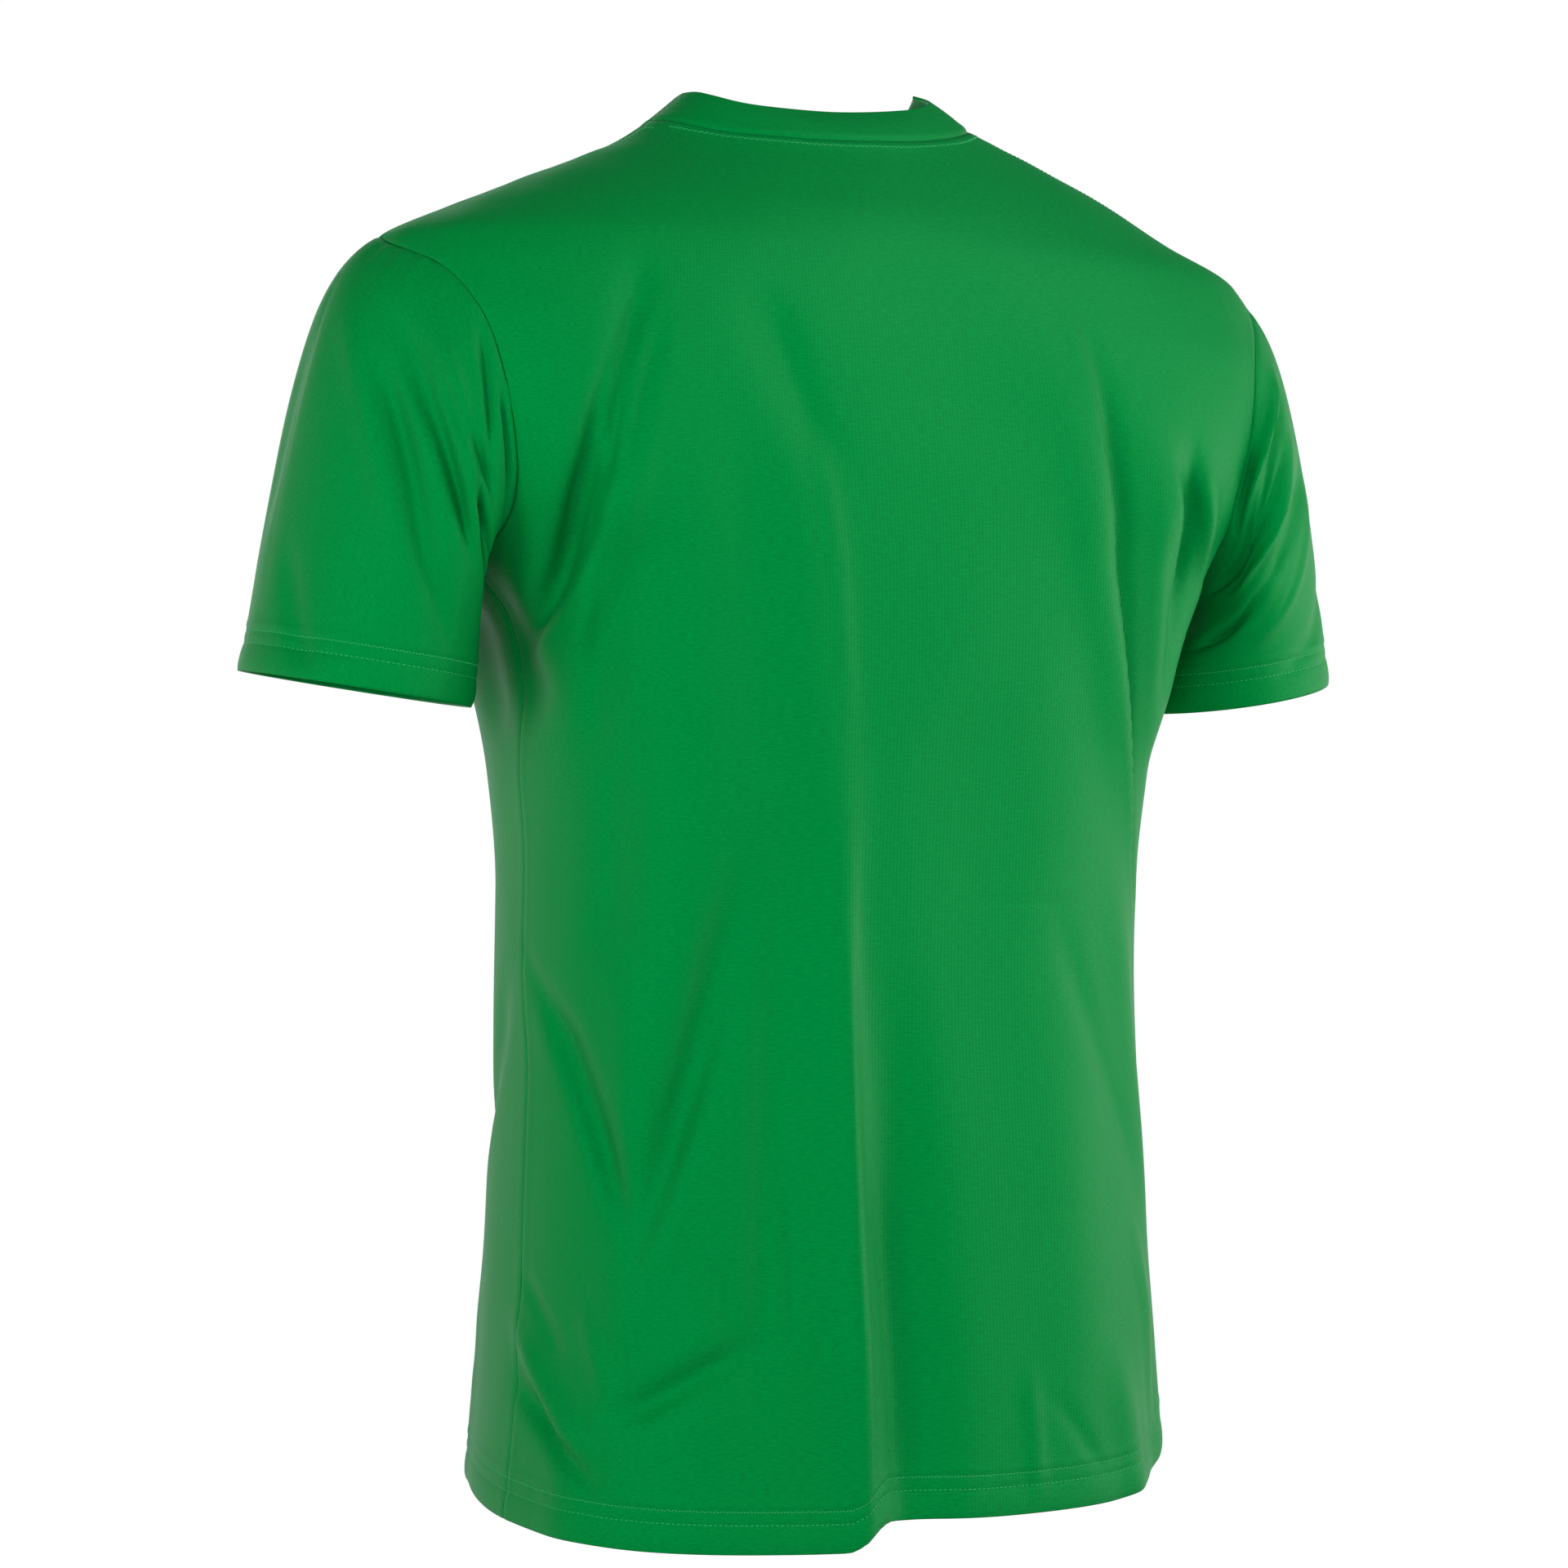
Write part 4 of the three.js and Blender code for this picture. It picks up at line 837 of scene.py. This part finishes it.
def knit_material(name, shade):
    """Interlock knit. shade scales its base colour."""
    material, tree = new_material(name)
    cloth = node(tree, "ShaderNodeTexCoord", output="UV")
    u = node(tree, "ShaderNodeSeparateXYZ", {}, [cloth], output="X")
    v = node(tree, "ShaderNodeSeparateXYZ", {}, [cloth], output="Y")

    def wave(value, length):
        return node(tree, "ShaderNodeMath", {"operation": "SINE"}, [value * (2 * math.pi / length)])

    wales = wave(u, 0.0011)
    courses = wave(v, 0.0009)
    crosswise = node(tree, "ShaderNodeVectorMath", {"operation": "MULTIPLY"}, [cloth, (1.0, 3.0, 1.0)])
    grain = node(tree, "ShaderNodeTexNoise", {}, {"Vector": crosswise, "Scale": 700.0, "Detail": 2.0})
    mottle = node(tree, "ShaderNodeTexNoise", {}, {"Vector": crosswise, "Scale": 380.0, "Detail": 3.0})
    tints = [(place, tuple(c * part * shade for c in KNIT_GREEN)) for place, part in MOTTLE]
    colour = node(tree, "ShaderNodeValToRGB", {"stops": tints}, [mottle])
    relief = wales * courses * 0.5 + wales * 0.3 + grain * 1.5
    surface = node(
        tree, "ShaderNodeBump", {}, {"Strength": 0.35, "Distance": 0.0002, "Height": relief}
    )
    shader = node(
        tree,
        "ShaderNodeBsdfPrincipled",
        {},
        {
            "Base Color": colour,
            "Roughness": 0.46 + 0.12 * grain,
            "Normal": surface,
            "Sheen Weight": 0.07,
            "Sheen Roughness": 0.35,
            "Sheen Tint": (0.0, 0.9, 0.3, 1),
            "Specular IOR Level": 0.3,
            "Specular Tint": (0.0, 0.9, 0.28, 1),
        },
    )
    finish_material(tree, shader)
    return material


KNIT_GREEN = (0.0, 0.184, 0.032)
MOTTLE = ((0.3, 0.87), (0.7, 1.13))
jersey_knit = knit_material("jersey_knit_cloth", 1.0)
band_knit = knit_material("band_knit_cloth", 0.94)
print("knit materials ready")

# %% [markdown]
# ## The back and the front
# Each panel takes its net, the worn form with its folds, and then its finer creases and the relief of
# its hem and seams.

# %% Sew the two panels


def panel_places(net, middle, lift, creases):
    """Places of a panel with the relief of its hem and seams, and its flat cloth."""
    bearing = net[..., 0]
    down = net[..., 1]
    plain = body_outer(bearing, down)
    below_top = distance_from_ends(plain, 0)[1]
    from_left, from_right = distance_from_ends(plain, 1)
    from_hem = hem_down(bearing) - down
    flat = lay_flat(net, middle)
    pucker = 0.16 * waves(flat[..., 0], flat[..., 1] * 0.35, 7.0, 3)
    relief = hem_relief(from_hem) + pucker * (bump(from_hem, 19.5, 6.0))
    relief = relief + seam_relief(np.minimum(from_left, from_right), lift) + seam_relief(below_top, 0.2)
    relief = relief + 0.35 * waves(flat[..., 0], flat[..., 1] * 0.4, 46.0, 4) * ramp_up(from_hem / 40)
    relief = relief + add_folds(creases, flat[..., 0], flat[..., 1])
    return plain + grid_normals(plain) * relief[..., None], flat, from_hem


def with_allowance(grid, normals):
    """The grid with its seam allowance turned in at both sides and at the top."""
    left_first, left_second = turned_in(grid[:, 0], grid[:, 2], normals[:, 0])
    right_first, right_second = turned_in(grid[:, -1], grid[:, -3], normals[:, -1])
    wide = np.concatenate(
        [left_second[:, None], left_first[:, None], grid, right_first[:, None], right_second[:, None]], axis=1
    )
    edge = np.concatenate([normals[:, :1]] * 2 + [normals] + [normals[:, -1:]] * 2, axis=1)[-1]
    top_first, top_second = turned_in(wide[-1], wide[-3], edge)
    return np.concatenate([wide, top_first[None], top_second[None]], axis=0)


def spread_flat(flat):
    """The flat cloth of a grid with two more threads at each side and two more rows on top."""
    side = np.array([1.5, 0.0])
    first = flat[:, :1]
    last = flat[:, -1:]
    wide = np.concatenate([first - 2 * side, first - side, flat, last + side, last + 2 * side], axis=1)
    rise = np.array([0.0, -1.5])
    return np.concatenate([wide, wide[-1:] + rise, wide[-1:] + 2 * rise], axis=0)


def sew_panel(name, net, middle, lift, creases):
    places, flat, from_hem = panel_places(net, middle, lift, creases)
    normals = grid_normals(places)
    grid = with_allowance(places, normals)
    inside_hem = ramp_up((UPPER_STITCHES + 2.5 - from_hem) / 2.0)
    thickness = CLOTH + 0.9 * inside_hem
    thickness = np.pad(thickness, ((0, 2), (2, 2)), mode="edge")
    piece = cloth_shell(name, grid, spread_flat(flat), thickness, jersey_knit)
    return piece, places, normals, from_hem


back_piece, *back = sew_panel("back_cloth", back_net, 0, 0.3, BACK_CREASES)
front_piece, *front = sew_panel("front_cloth", front_net, -180, 0.2, FRONT_CREASES)

# %% [markdown]
# ## The sleeves
# A set-in sleeve is a tube that starts at the armhole and ends in a cuff. Every thread of it leaves
# the armhole in its own direction, outward over the shoulder and downward under the arm, and bends
# into the line of the arm. Sweeping a ring along a curve would lose the slanted start.

# %% Sizes of the sleeves
SAME_HEM = {"y": -5, "half_y": 66, "pitch": 5}
SLEEVE_HEMS = {
    "left": {"x": 259, "down": 300, "half_x": 57, "tilt": 8, "out": 0.3, **SAME_HEM},
    "right": {"x": 252, "down": 295, "half_x": 56, "tilt": 11, "out": 0.22, **SAME_HEM},
}
SLEEVE_START = table(
    "turn out back left_down right_down left_pull right_pull",
    (-180, 0.78, 0.0, 0.62, 0.62, 80, 90),
    (-130, 0.68, -0.2, 0.7, 0.7, 100, 110),
    (-90, 0.55, -0.25, 0.8, 0.8, 120, 120),
    (0, 0.96, 0, 0.18, 0.42, 136, 100),
    (90, 0.55, 0.25, 0.8, 0.8, 120, 120),
    (130, 0.68, 0.2, 0.7, 0.7, 100, 110),
    (180, 0.78, 0.0, 0.62, 0.62, 80, 90),
)
SLEEVE_FOLDS = {
    "left": [
        (20, 0.22, 118, 0.86, 3, 7, -4, 1),
        (8, 0.18, 74, 0.7, 2, 8, 2.5, 1),
        (28, 0.18, 120, 0.54, 0, 6, -5, 1),
        (46, 0.14, 118, 0.42, 0, 6, 3.5, 1),
        (58, 0.29, 124, 0.24, 2, 5, -4, 1),
        (90, 0.3, 146, 0.44, 0, 6, -6, 1),
        (62, 0, 106, 0.24, 0, 5, -3, 1),
        (84, 0.03, 142, 0.1, 0, 5, -4, 1),
        (-4, 0.24, -14, 0.74, 0, 9, -2.5, 1),
        (10, 0.66, 42, 1, 0, 7, -2.5, 1),
        (-30, 0.2, -112, 0.7, 4, 8, -4, 1),
        (-64, 0.12, -146, 0.54, 4, 7, -4, 1),
        (-50, 0.44, -104, 0.96, 4, 9, 3, 1),
    ],
    "right": [
        (84, 0.03, 128, 0.05, 0, 5, -4, 1),
        (34, 0.18, 128, 0.02, 0, 6, 3.5, 1),
        (36, 0.2, 130, 0.22, 4, 7, -4, 1),
        (100, 0.12, 152, 0.22, 0, 6, -4, 1),
        (44, 0.31, 140, 0.34, 2, 7, 4, 1),
        (34, 0.4, 112, 0.5, 0, 7, -3.5, 1),
        (34, 0.42, 116, 0.76, 0, 7, 3.5, 1),
        (98, 0.5, 152, 0.62, 0, 9, -4, 1),
        (20, 0.66, 100, 0.92, 0, 7, -2.5, 1),
        (-26, 0.2, -116, 0.66, 4, 8, -4, 1),
        (-60, 0.12, -140, 0.5, 4, 7, -4, 1),
        (-40, 0.5, -110, 0.96, 4, 9, 3, 1),
    ],
}
SLEEVE_CREASES = {
    "left": [
        # Into the armpit across the back of the sleeve
        (32, 0.3, 90, 0.72, 3, 3.6, -1.8, 1),
        (38, 0.26, 118, 0.48, -4, 3.6, -3.2, 1),
        (44, 0.22, 112, 0.42, -3, 3.4, 1.8, 1),
        (68, 0.31, 114, 0.25, 0, 3.2, -2.4, 1),
        (68, 0.27, 106, 0.22, 0, 3.0, 1.6, 1),
        (96, 0.36, 144, 0.29, 0, 4.2, -4.5, 1),
        (66, 0.05, 100, 0.19, 0, 3.2, -2.2, 1),
        (92, 0.05, 124, 0.07, 0, 3.2, -3.0, 1),
        (38, 0.32, 76, 0.54, 0, 3.4, -1.4, 1),
        # Gathers of the sleeve's head
        (10, -0.02, 12, 0.13, 0, 2.6, -0.7, 1),
        (18, -0.02, 22, 0.15, 0, 2.6, -0.8, 1),
        (27, -0.02, 32, 0.14, 0, 2.6, -0.7, 1),
        (36, -0.02, 42, 0.13, 0, 2.6, -0.8, 1),
        (-24, -0.02, -27, 0.14, 0, 2.6, -0.7, 1),
        # Front of the sleeve
        (-40, 0.24, -112, 0.5, 3, 3.6, -2.4, 1),
        (-70, 0.14, -140, 0.34, 2, 3.6, -2.6, 1),
    ],
    "right": [
        (84, 0.05, 116, 0.05, 0, 3.2, -2.8, 1),
        (44, 0.16, 118, 0.04, 0, 3.4, 2.2, 1),
        (60, 0.25, 128, 0.19, -6, 3.6, -2.8, 1),
        (108, 0.18, 152, 0.24, 0, 3.6, -2.6, 1),
        (64, 0.33, 136, 0.33, 0, 3.6, 2.4, 1),
        (48, 0.46, 104, 0.7, 0, 4.0, -2.2, 1),
        (114, 0.52, 150, 0.64, 0, 5.0, -2.6, 1),
        (14, -0.02, 17, 0.14, 0, 2.6, -0.7, 1),
        (26, -0.02, 30, 0.13, 0, 2.6, -0.8, 1),
        (-20, -0.02, -24, 0.14, 0, 2.6, -0.7, 1),
        (-36, 0.22, -110, 0.48, 3, 3.6, -2.4, 1),
        (-66, 0.12, -136, 0.32, 2, 3.6, -2.4, 1),
    ],
}
SLEEVE_LENGTH = 200
SLEEVE_CLOTH = (1.1, SLEEVE_LENGTH)
print("a sleeve has", len(SLEEVE_FOLDS["left"]), "folds of its own")

# %% Draw the threads of a sleeve
SLEEVE_STEP = 2.8


def armhole_loop(side, steps):
    """Armhole from the shoulder point down the back to the armpit and up the front."""
    shares = np.linspace(0, 1, steps + 1)
    back = armhole_seam(side, BACK_ARMHOLE, shares)[::-1]
    front = armhole_seam(side, FRONT_ARMHOLE, shares)
    return np.concatenate([back, front[1:-1]])


def sleeve_net(side, steps):
    """Places of a sleeve from its armhole to its hem, the turn round it and the share along it."""
    loop = armhole_loop(side, steps)
    count = len(loop)
    turn = np.arange(count) * 360 / count
    turn = np.where(turn > 180, turn - 360, turn)
    hem = SLEEVE_HEMS[side]
    out = -SIGN[side]
    angle = np.radians(turn)
    start = body_outer(loop[:, 0], loop[:, 1])
    end_x = out * (hem["x"] + hem["half_x"] * np.cos(angle))
    end_y = hem["y"] + hem["half_y"] * np.sin(angle)
    end_z = hem["tilt"] * np.cos(angle) - hem["pitch"] * np.sin(angle) - hem["down"]
    end = np.stack([end_x, end_y, end_z], axis=-1)
    pull = column(SLEEVE_START, "turn", side + "_pull", turn)[:, None]
    shares = [column(SLEEVE_START, "turn", name, turn) for name in ("out", "back", side + "_down")]
    leave = unit(np.stack([out * shares[0], shares[1], -shares[2]], axis=-1)) * pull
    arrive = unit(np.array([out * hem["out"], 0, -1.0])) * pull

    def thread(s):
        s = s[..., None]
        s2 = s * s
        s3 = s2 * s
        first = (2 * s3 - 3 * s2 + 1) * start + (s3 - 2 * s2 + s) * leave
        return first + (3 * s2 - 2 * s3) * end + (s3 - s2) * arrive

    fine = np.broadcast_to(np.linspace(0, 1, 121)[:, None], (121, count))
    length = steps_along(thread(fine), 0)
    rows = spaced(SEAM_STEPS, HEM_STEPS[::-1], SLEEVE_LENGTH, SLEEVE_STEP)
    share = np.empty((len(rows), count))
    near_seam = sum(SEAM_STEPS)
    near_hem = sum(HEM_STEPS)
    for i in range(count):
        middle = (length[-1, i] - near_seam - near_hem) / (SLEEVE_LENGTH - near_seam - near_hem)
        at = np.where(rows < near_seam, rows, near_seam + (rows - near_seam) * middle)
        at = np.where(rows > SLEEVE_LENGTH - near_hem, length[-1, i] - SLEEVE_LENGTH + rows, at)
        share[:, i] = np.interp(at, length[:, i], fine[:, i])
    return thread(share), turn, share, loop


# %% Sew the sleeves
SLEEVE_THREADS = 90


def sew_sleeve(side):
    plain, turn, share, loop = sleeve_net(side, SLEEVE_THREADS)
    facing = -1 if side == "left" else 1
    normals = grid_normals(plain, wrap=True) * facing
    folds = sum(
        fold_height(fold, turn[None, :] * SLEEVE_CLOTH[0], share * SLEEVE_CLOTH[1], SLEEVE_CLOTH)
        for fold in SLEEVE_FOLDS[side] + SLEEVE_CREASES[side]
    )
    folded = plain + normals * folds[..., None]
    from_armhole, from_hem = distance_from_ends(folded, 0)
    flat = np.stack([np.broadcast_to(turn * SLEEVE_CLOTH[0], share.shape), from_armhole], axis=-1)
    relief = hem_relief(from_hem) + seam_relief(from_armhole, 0.3)
    relief = relief + 0.15 * waves(flat[..., 0], flat[..., 1] * 0.35, 7.0, 3) * bump(from_hem, 17.5, 6.0)
    relief = relief + 0.3 * waves(flat[..., 0], flat[..., 1] * 0.5, 38.0, 4) * ramp_up(from_armhole / 20)
    normals = grid_normals(folded, wrap=True) * facing
    places = folded + normals * relief[..., None]

    body_normal = normal_of(body_outer, loop[:, 0], loop[:, 1], 1, 2)
    seam = places[0]
    along = np.roll(seam, -1, axis=0) - np.roll(seam, 1, axis=0)
    away = unit(np.cross(along, body_normal))
    towards = np.sum(away * (seam.mean(axis=0) - seam), axis=1, keepdims=True)
    away = away * np.sign(towards)
    first = seam - body_normal * 1.0 + away * GAP
    second = seam - body_normal * ALLOWANCE + away * (GAP + 0.3)
    grid = np.concatenate([second[None], first[None], places])
    grid = grid[::-1]
    flat = np.concatenate([flat[:1], flat[:1], flat])[::-1]
    inside_hem = ramp_up((UPPER_STITCHES + 2.5 - from_hem) / 2.0)
    thickness = CLOTH + 0.9 * np.concatenate([inside_hem[:1], inside_hem[:1], inside_hem])[::-1]
    if side == "right":
        grid, flat, thickness = grid[:, ::-1], flat[:, ::-1], thickness[:, ::-1]
    name = "sleeve_" + side + "_cloth"
    piece = cloth_shell(name, grid, flat, thickness, jersey_knit, wrap=True)
    return piece, places, grid_normals(places, wrap=True) * facing, from_hem


sleeve_left_piece, *sleeve_left = sew_sleeve("left")
sleeve_right_piece, *sleeve_right = sew_sleeve("right")

# %% [markdown]
# ## The neck band
# The band is a strip of the same knit folded double, so its top is a soft round fold, and both of
# its edges go down into the neck seam. It is drawn as a closed outline that travels round the neck,
# with one slanting crease at the left of the back.

# %% Sew the neck band
BAND_LEAN = table(
    "bearing inward rise bulge",
    (-180, 12, 18, 1.5), (-130, 17, 15, 1.5), (-90, 19, 16, -0.5), (-45, 16, 17, 1.0), (0, 16, 17, 1.5),
    (45, 19, 16, 1), (90, 27, 17, 0), (130, 17, 15, 1.5), (180, 12, 18, 1.5),
)
NECK_MIDDLE = np.array([0.0, -14.0, 0.0])
BAND_CLOTH = 2.2
BAND_STEPS = 120
BAND_TOP = 21.0
BAND_FOLD = 1.3
FOLD_STEPS = 8
BAND_CREASE = {"from": -78, "to": -22, "high": 18.5, "low": 3.5}


def band_ring():
    """Neck seam all round, from the left high shoulder point over the back."""
    back = neck_seam(BACK_NECK, high_left, high_right, np.linspace(0, 1, BAND_STEPS + 1))
    front_end = through_front(high_right)
    front = neck_seam(FRONT_NECK, high_left, front_end, np.linspace(0, 1, BAND_STEPS + 31))[::-1]
    return np.concatenate([back[:-1], front[:-1]])


def sew_band():
    ring = band_ring()
    bearing = np.where(ring[:, 0] < -180, ring[:, 0] + 360, ring[:, 0])
    seam = body_outer(ring[:, 0], ring[:, 1])
    inward = NECK_MIDDLE - seam
    inward[:, 2] = 0
    inward = unit(inward)
    up = inward * column(BAND_LEAN, "bearing", "inward", bearing)[:, None]
    up[:, 2] = column(BAND_LEAN, "bearing", "rise", bearing)
    height = np.linalg.norm(up, axis=1, keepdims=True)
    up = up / height
    outward = unit(np.array([0.0, 0.0, 1.0]) - up * up[:, 2:3])
    outward = outward * -np.sign(np.sum(outward * inward, axis=1, keepdims=True))
    bulge = column(BAND_LEAN, "bearing", "bulge", bearing)[:, None]
    top_round = BAND_CLOTH / 2
    crease_share = (bearing - BAND_CREASE["from"]) / (BAND_CREASE["to"] - BAND_CREASE["from"])
    crease_rise = BAND_CREASE["high"] + (BAND_CREASE["low"] - BAND_CREASE["high"]) * crease_share
    crease_depth = 0.5 * ramp_up(crease_share * 6) * ramp_up((1 - crease_share) * 6)

    profile = []
    for rise in (-3.2, -1.6, -0.5, 0.0, 0.5, 1.1, 1.9, 3.0, 4.5, 6.5, 9.0, 11.5, 14.0, 16.5, 19.0, BAND_TOP):
        profile.append((rise, 0.0))
    for step in range(1, FOLD_STEPS):
        turn = math.pi * step / FOLD_STEPS
        profile.append((BAND_TOP + BAND_FOLD * math.sin(turn), -top_round + top_round * math.cos(turn)))
    for rise in (BAND_TOP, 18.0, 14.0, 10.0, 6.0, 2.0, -1.0, -3.2):
        profile.append((rise, -BAND_CLOTH))
    rows = []
    for rise, off in profile:
        share = np.clip(rise / BAND_TOP, 0, 1)
        roll = bulge * math.sin(math.pi * share) - 0.9 * math.exp(-((rise / 1.0) ** 2)) * (off > -0.1)
        roll = roll + (0.35 * math.exp(-(((rise - 3.2) / 1.8) ** 2)) - 1.0 * (rise < -0.1)) * (off > -0.1)
        dent = (crease_depth * bump(rise, crease_rise, 1.4))[:, None] * (off > -0.1)
        climb = 0.5 + rise * height / (BAND_TOP + BAND_FOLD)
        rows.append(seam + up * climb + outward * (off + roll - dent))
    grid = np.stack(rows)
    lengths = steps_along(grid, 0)
    around = np.concatenate([[0], np.cumsum(np.linalg.norm(np.diff(seam, axis=0), axis=1))])
    flat = np.stack([lengths, np.broadcast_to(around, lengths.shape)], axis=-1)
    index = np.arange(grid.shape[0] * grid.shape[1]).reshape(grid.shape[:2])
    index = np.concatenate([index, index[:1]])
    index = np.concatenate([index, index[:, :1]], axis=1)
    quads = np.stack([index[:-1, :-1], index[:-1, 1:], index[1:, 1:], index[1:, :-1]], axis=-1)
    piece = new_piece("band_cloth", grid.reshape(-1, 3), quads.reshape(-1, 4), flat.reshape(-1, 2), band_knit)
    return piece


band_piece = sew_band()

# %% [markdown]
# ## Stitches
# The hem and the cuffs have a lower row of straight stitches and an upper row that looks zigzag. A
# wider zigzag row holds down the neck seam, and a straight one runs behind each shoulder seam. Each
# stitch is a small bead of thread pressed into the cloth, so it shows in the outline when you come
# close. A texture of dashes would be cheaper, but it stays flat.

# %% Lay stitches along a line
STITCH_SIDES = 6


def stitch_shape(length, width, height):
    """Points and triangles of one stitch along X, with Z up from the cloth."""
    points = [(-length / 2, 0, -0.1)]
    for place, size in ((-0.36, 0.75), (0.0, 1.0), (0.36, 0.75)):
        for k in range(STITCH_SIDES):
            turn = 2 * math.pi * k / STITCH_SIDES
            points.append((place * length, width / 2 * size * math.cos(turn), height * size * math.sin(turn)))
    points.append((length / 2, 0, -0.1))
    last = len(points) - 1
    faces = []
    for k in range(STITCH_SIDES):
        after = (k + 1) % STITCH_SIDES
        faces.append((0, 1 + after, 1 + k))
        for ring in (0, 1):
            a, b = 1 + ring * STITCH_SIDES + k, 1 + ring * STITCH_SIDES + after
            faces.append((a, b, b + STITCH_SIDES))
            faces.append((a, b + STITCH_SIDES, a + STITCH_SIDES))
        faces.append((last, 1 + 2 * STITCH_SIDES + k, 1 + 2 * STITCH_SIDES + after))
    return np.array(points), np.array(faces)


def stitch_frames(line, normals, pitch, closed):
    """Middle, direction along, direction aside and normal of each stitch on a line."""
    if closed:
        line = np.concatenate([line, line[:1]])
        normals = np.concatenate([normals, normals[:1]])
    length = np.concatenate([[0], np.cumsum(np.linalg.norm(np.diff(line, axis=0), axis=1))])
    count = int(length[-1] / pitch)
    at = (np.arange(count) + 0.5) * length[-1] / count

    def on_line(values, where):
        return np.stack([np.interp(where, length, values[:, k]) for k in range(3)], axis=-1)

    ahead = np.clip(at + 0.8, 0, length[-1])
    behind = np.clip(at - 0.8, 0, length[-1])
    along = unit(on_line(line, ahead) - on_line(line, behind))
    normal = unit(on_line(normals, at))
    aside = unit(np.cross(normal, along))
    return on_line(line, at), along, aside, unit(np.cross(along, aside))


def stitch_row(line, normals, pitch, length, slant=0.0, closed=False):
    """Points and faces of a row of stitches. slant above 0 turns every other stitch the other way."""
    middle, along, aside, normal = stitch_frames(line, normals, pitch, closed)
    shape, faces = stitch_shape(length, 0.55, 0.3)
    way = np.where(np.arange(len(middle)) % 2 == 0, 1, -1)[:, None] * slant
    forward = along * np.cos(way) + aside * np.sin(way)
    across = np.cross(normal, forward)
    points = middle[:, None] + forward[:, None] * shape[None, :, 0:1]
    points = points + across[:, None] * shape[None, :, 1:2] + normal[:, None] * shape[None, :, 2:3]
    offset = np.arange(len(middle))[:, None, None] * len(shape)
    return points.reshape(-1, 3), (faces[None] + offset).reshape(-1, 3)


def join_rows(name, rows, material):
    """One object from several rows of stitches."""
    points = np.concatenate([row[0] for row in rows])
    start = 0
    faces = []
    for row in rows:
        faces.append(row[1] + start)
        start += len(row[0])
    return new_piece(name, points, np.concatenate(faces), points[:, :2], material)


def level_line(places, normals, heights, wanted):
    """The line on a grid at a height above its hem, with its normals."""
    line = []
    line_normals = []
    for i in range(places.shape[1]):
        order = np.argsort(heights[:, i])
        known = heights[order, i]
        line.append([np.interp(wanted, known, places[order, i, k]) for k in range(3)])
        line_normals.append([np.interp(wanted, known, normals[order, i, k]) for k in range(3)])
    return np.array(line), np.array(line_normals)


# %% Choose the thread
thread_material, tree = new_material("sewing_thread")
cloth = node(tree, "ShaderNodeTexCoord", output="Object")
fibre = node(tree, "ShaderNodeTexNoise", {}, {"Vector": cloth, "Scale": 1500.0, "Detail": 1.0})
thread_colour = node(
    tree,
    "ShaderNodeMix",
    {"data_type": "RGBA"},
    {0: fibre, 6: (0.0, 0.28, 0.07, 1), 7: (0.01, 0.38, 0.11, 1)},
    output=2,
)
twist = node(tree, "ShaderNodeBump", {}, {"Strength": 0.4, "Distance": 0.0001, "Height": fibre})
thread_shader = node(
    tree, "ShaderNodeBsdfPrincipled", {}, {"Base Color": thread_colour, "Roughness": 0.4, "Normal": twist}
)
finish_material(tree, thread_shader)

# %% Stitch the hems and the cuffs
hem_rows = []
for panel in (back, front):
    low = level_line(*panel, LOWER_STITCHES)
    high = level_line(*panel, UPPER_STITCHES)
    hem_rows.append(stitch_row(*low, 2.6, 1.9))
    hem_rows.append(stitch_row(*high, 1.7, 1.7, slant=0.5))
hem_stitches = join_rows("hem_stitches", hem_rows, thread_material)

cuff_stitches = {}
for side, sleeve in (("left", sleeve_left), ("right", sleeve_right)):
    low = level_line(*sleeve, LOWER_STITCHES)
    high = level_line(*sleeve, UPPER_STITCHES)
    rows = [stitch_row(*low, 2.6, 1.9, closed=True), stitch_row(*high, 1.7, 1.7, slant=0.5, closed=True)]
    cuff_stitches[side] = join_rows("cuff_stitches_" + side, rows, thread_material)

# %% Stitch the neck and the shoulders
NECK_HALF = 88


def line_below_top(places, normals, row, share, mask):
    """A line between two rows of a panel's net, for the threads that the mask picks."""
    line = places[row] * (1 - share) + places[row - 1] * share
    return line[mask], normals[row][mask]


neck_rows = []
for places, normals, _ in (back, front):
    at_neck = np.abs(places[-1, :, 0]) < NECK_HALF
    neck_rows.append(stitch_row(*line_below_top(places, normals, -3, 0.3, at_neck), 1.5, 2.1, slant=0.85))
neck_stitches = join_rows("neck_stitches", neck_rows, thread_material)

shoulder_rows = []
for side in SIGN:
    beyond = back[0][-1, :, 0] * -SIGN[side] > NECK_HALF + 2
    shoulder_rows.append(stitch_row(*line_below_top(back[0], back[1], -5, 0.0, beyond), 2.4, 1.9))
shoulder_stitches = join_rows("shoulder_stitches", shoulder_rows, thread_material)

# %% [markdown]
# ## Fit to the solid part
# Each shell of cloth stands for the solid of the same piece and moves with the one body of the
# jersey.

# %% Ride and replace
for piece, solid in (
    (back_piece, "back_panel"),
    (front_piece, "front_panel"),
    (sleeve_left_piece, "sleeve_left"),
    (sleeve_right_piece, "sleeve_right"),
    (band_piece, "neck_band"),
):
    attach(piece, "root")
    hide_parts(solid)
    "band_knit" if solid == "neck_band" else "jersey_knit"
for piece in (hem_stitches, neck_stitches, shoulder_stitches, *cuff_stitches.values()):
    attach(piece, "root")


def half_area(piece):
    return sum(face.area for face in piece.data.polygons) / 2


for piece in (back_piece, front_piece, sleeve_left_piece, sleeve_right_piece, band_piece):
    print(piece.name, "area of one face", round(half_area(piece), 4), "m2")
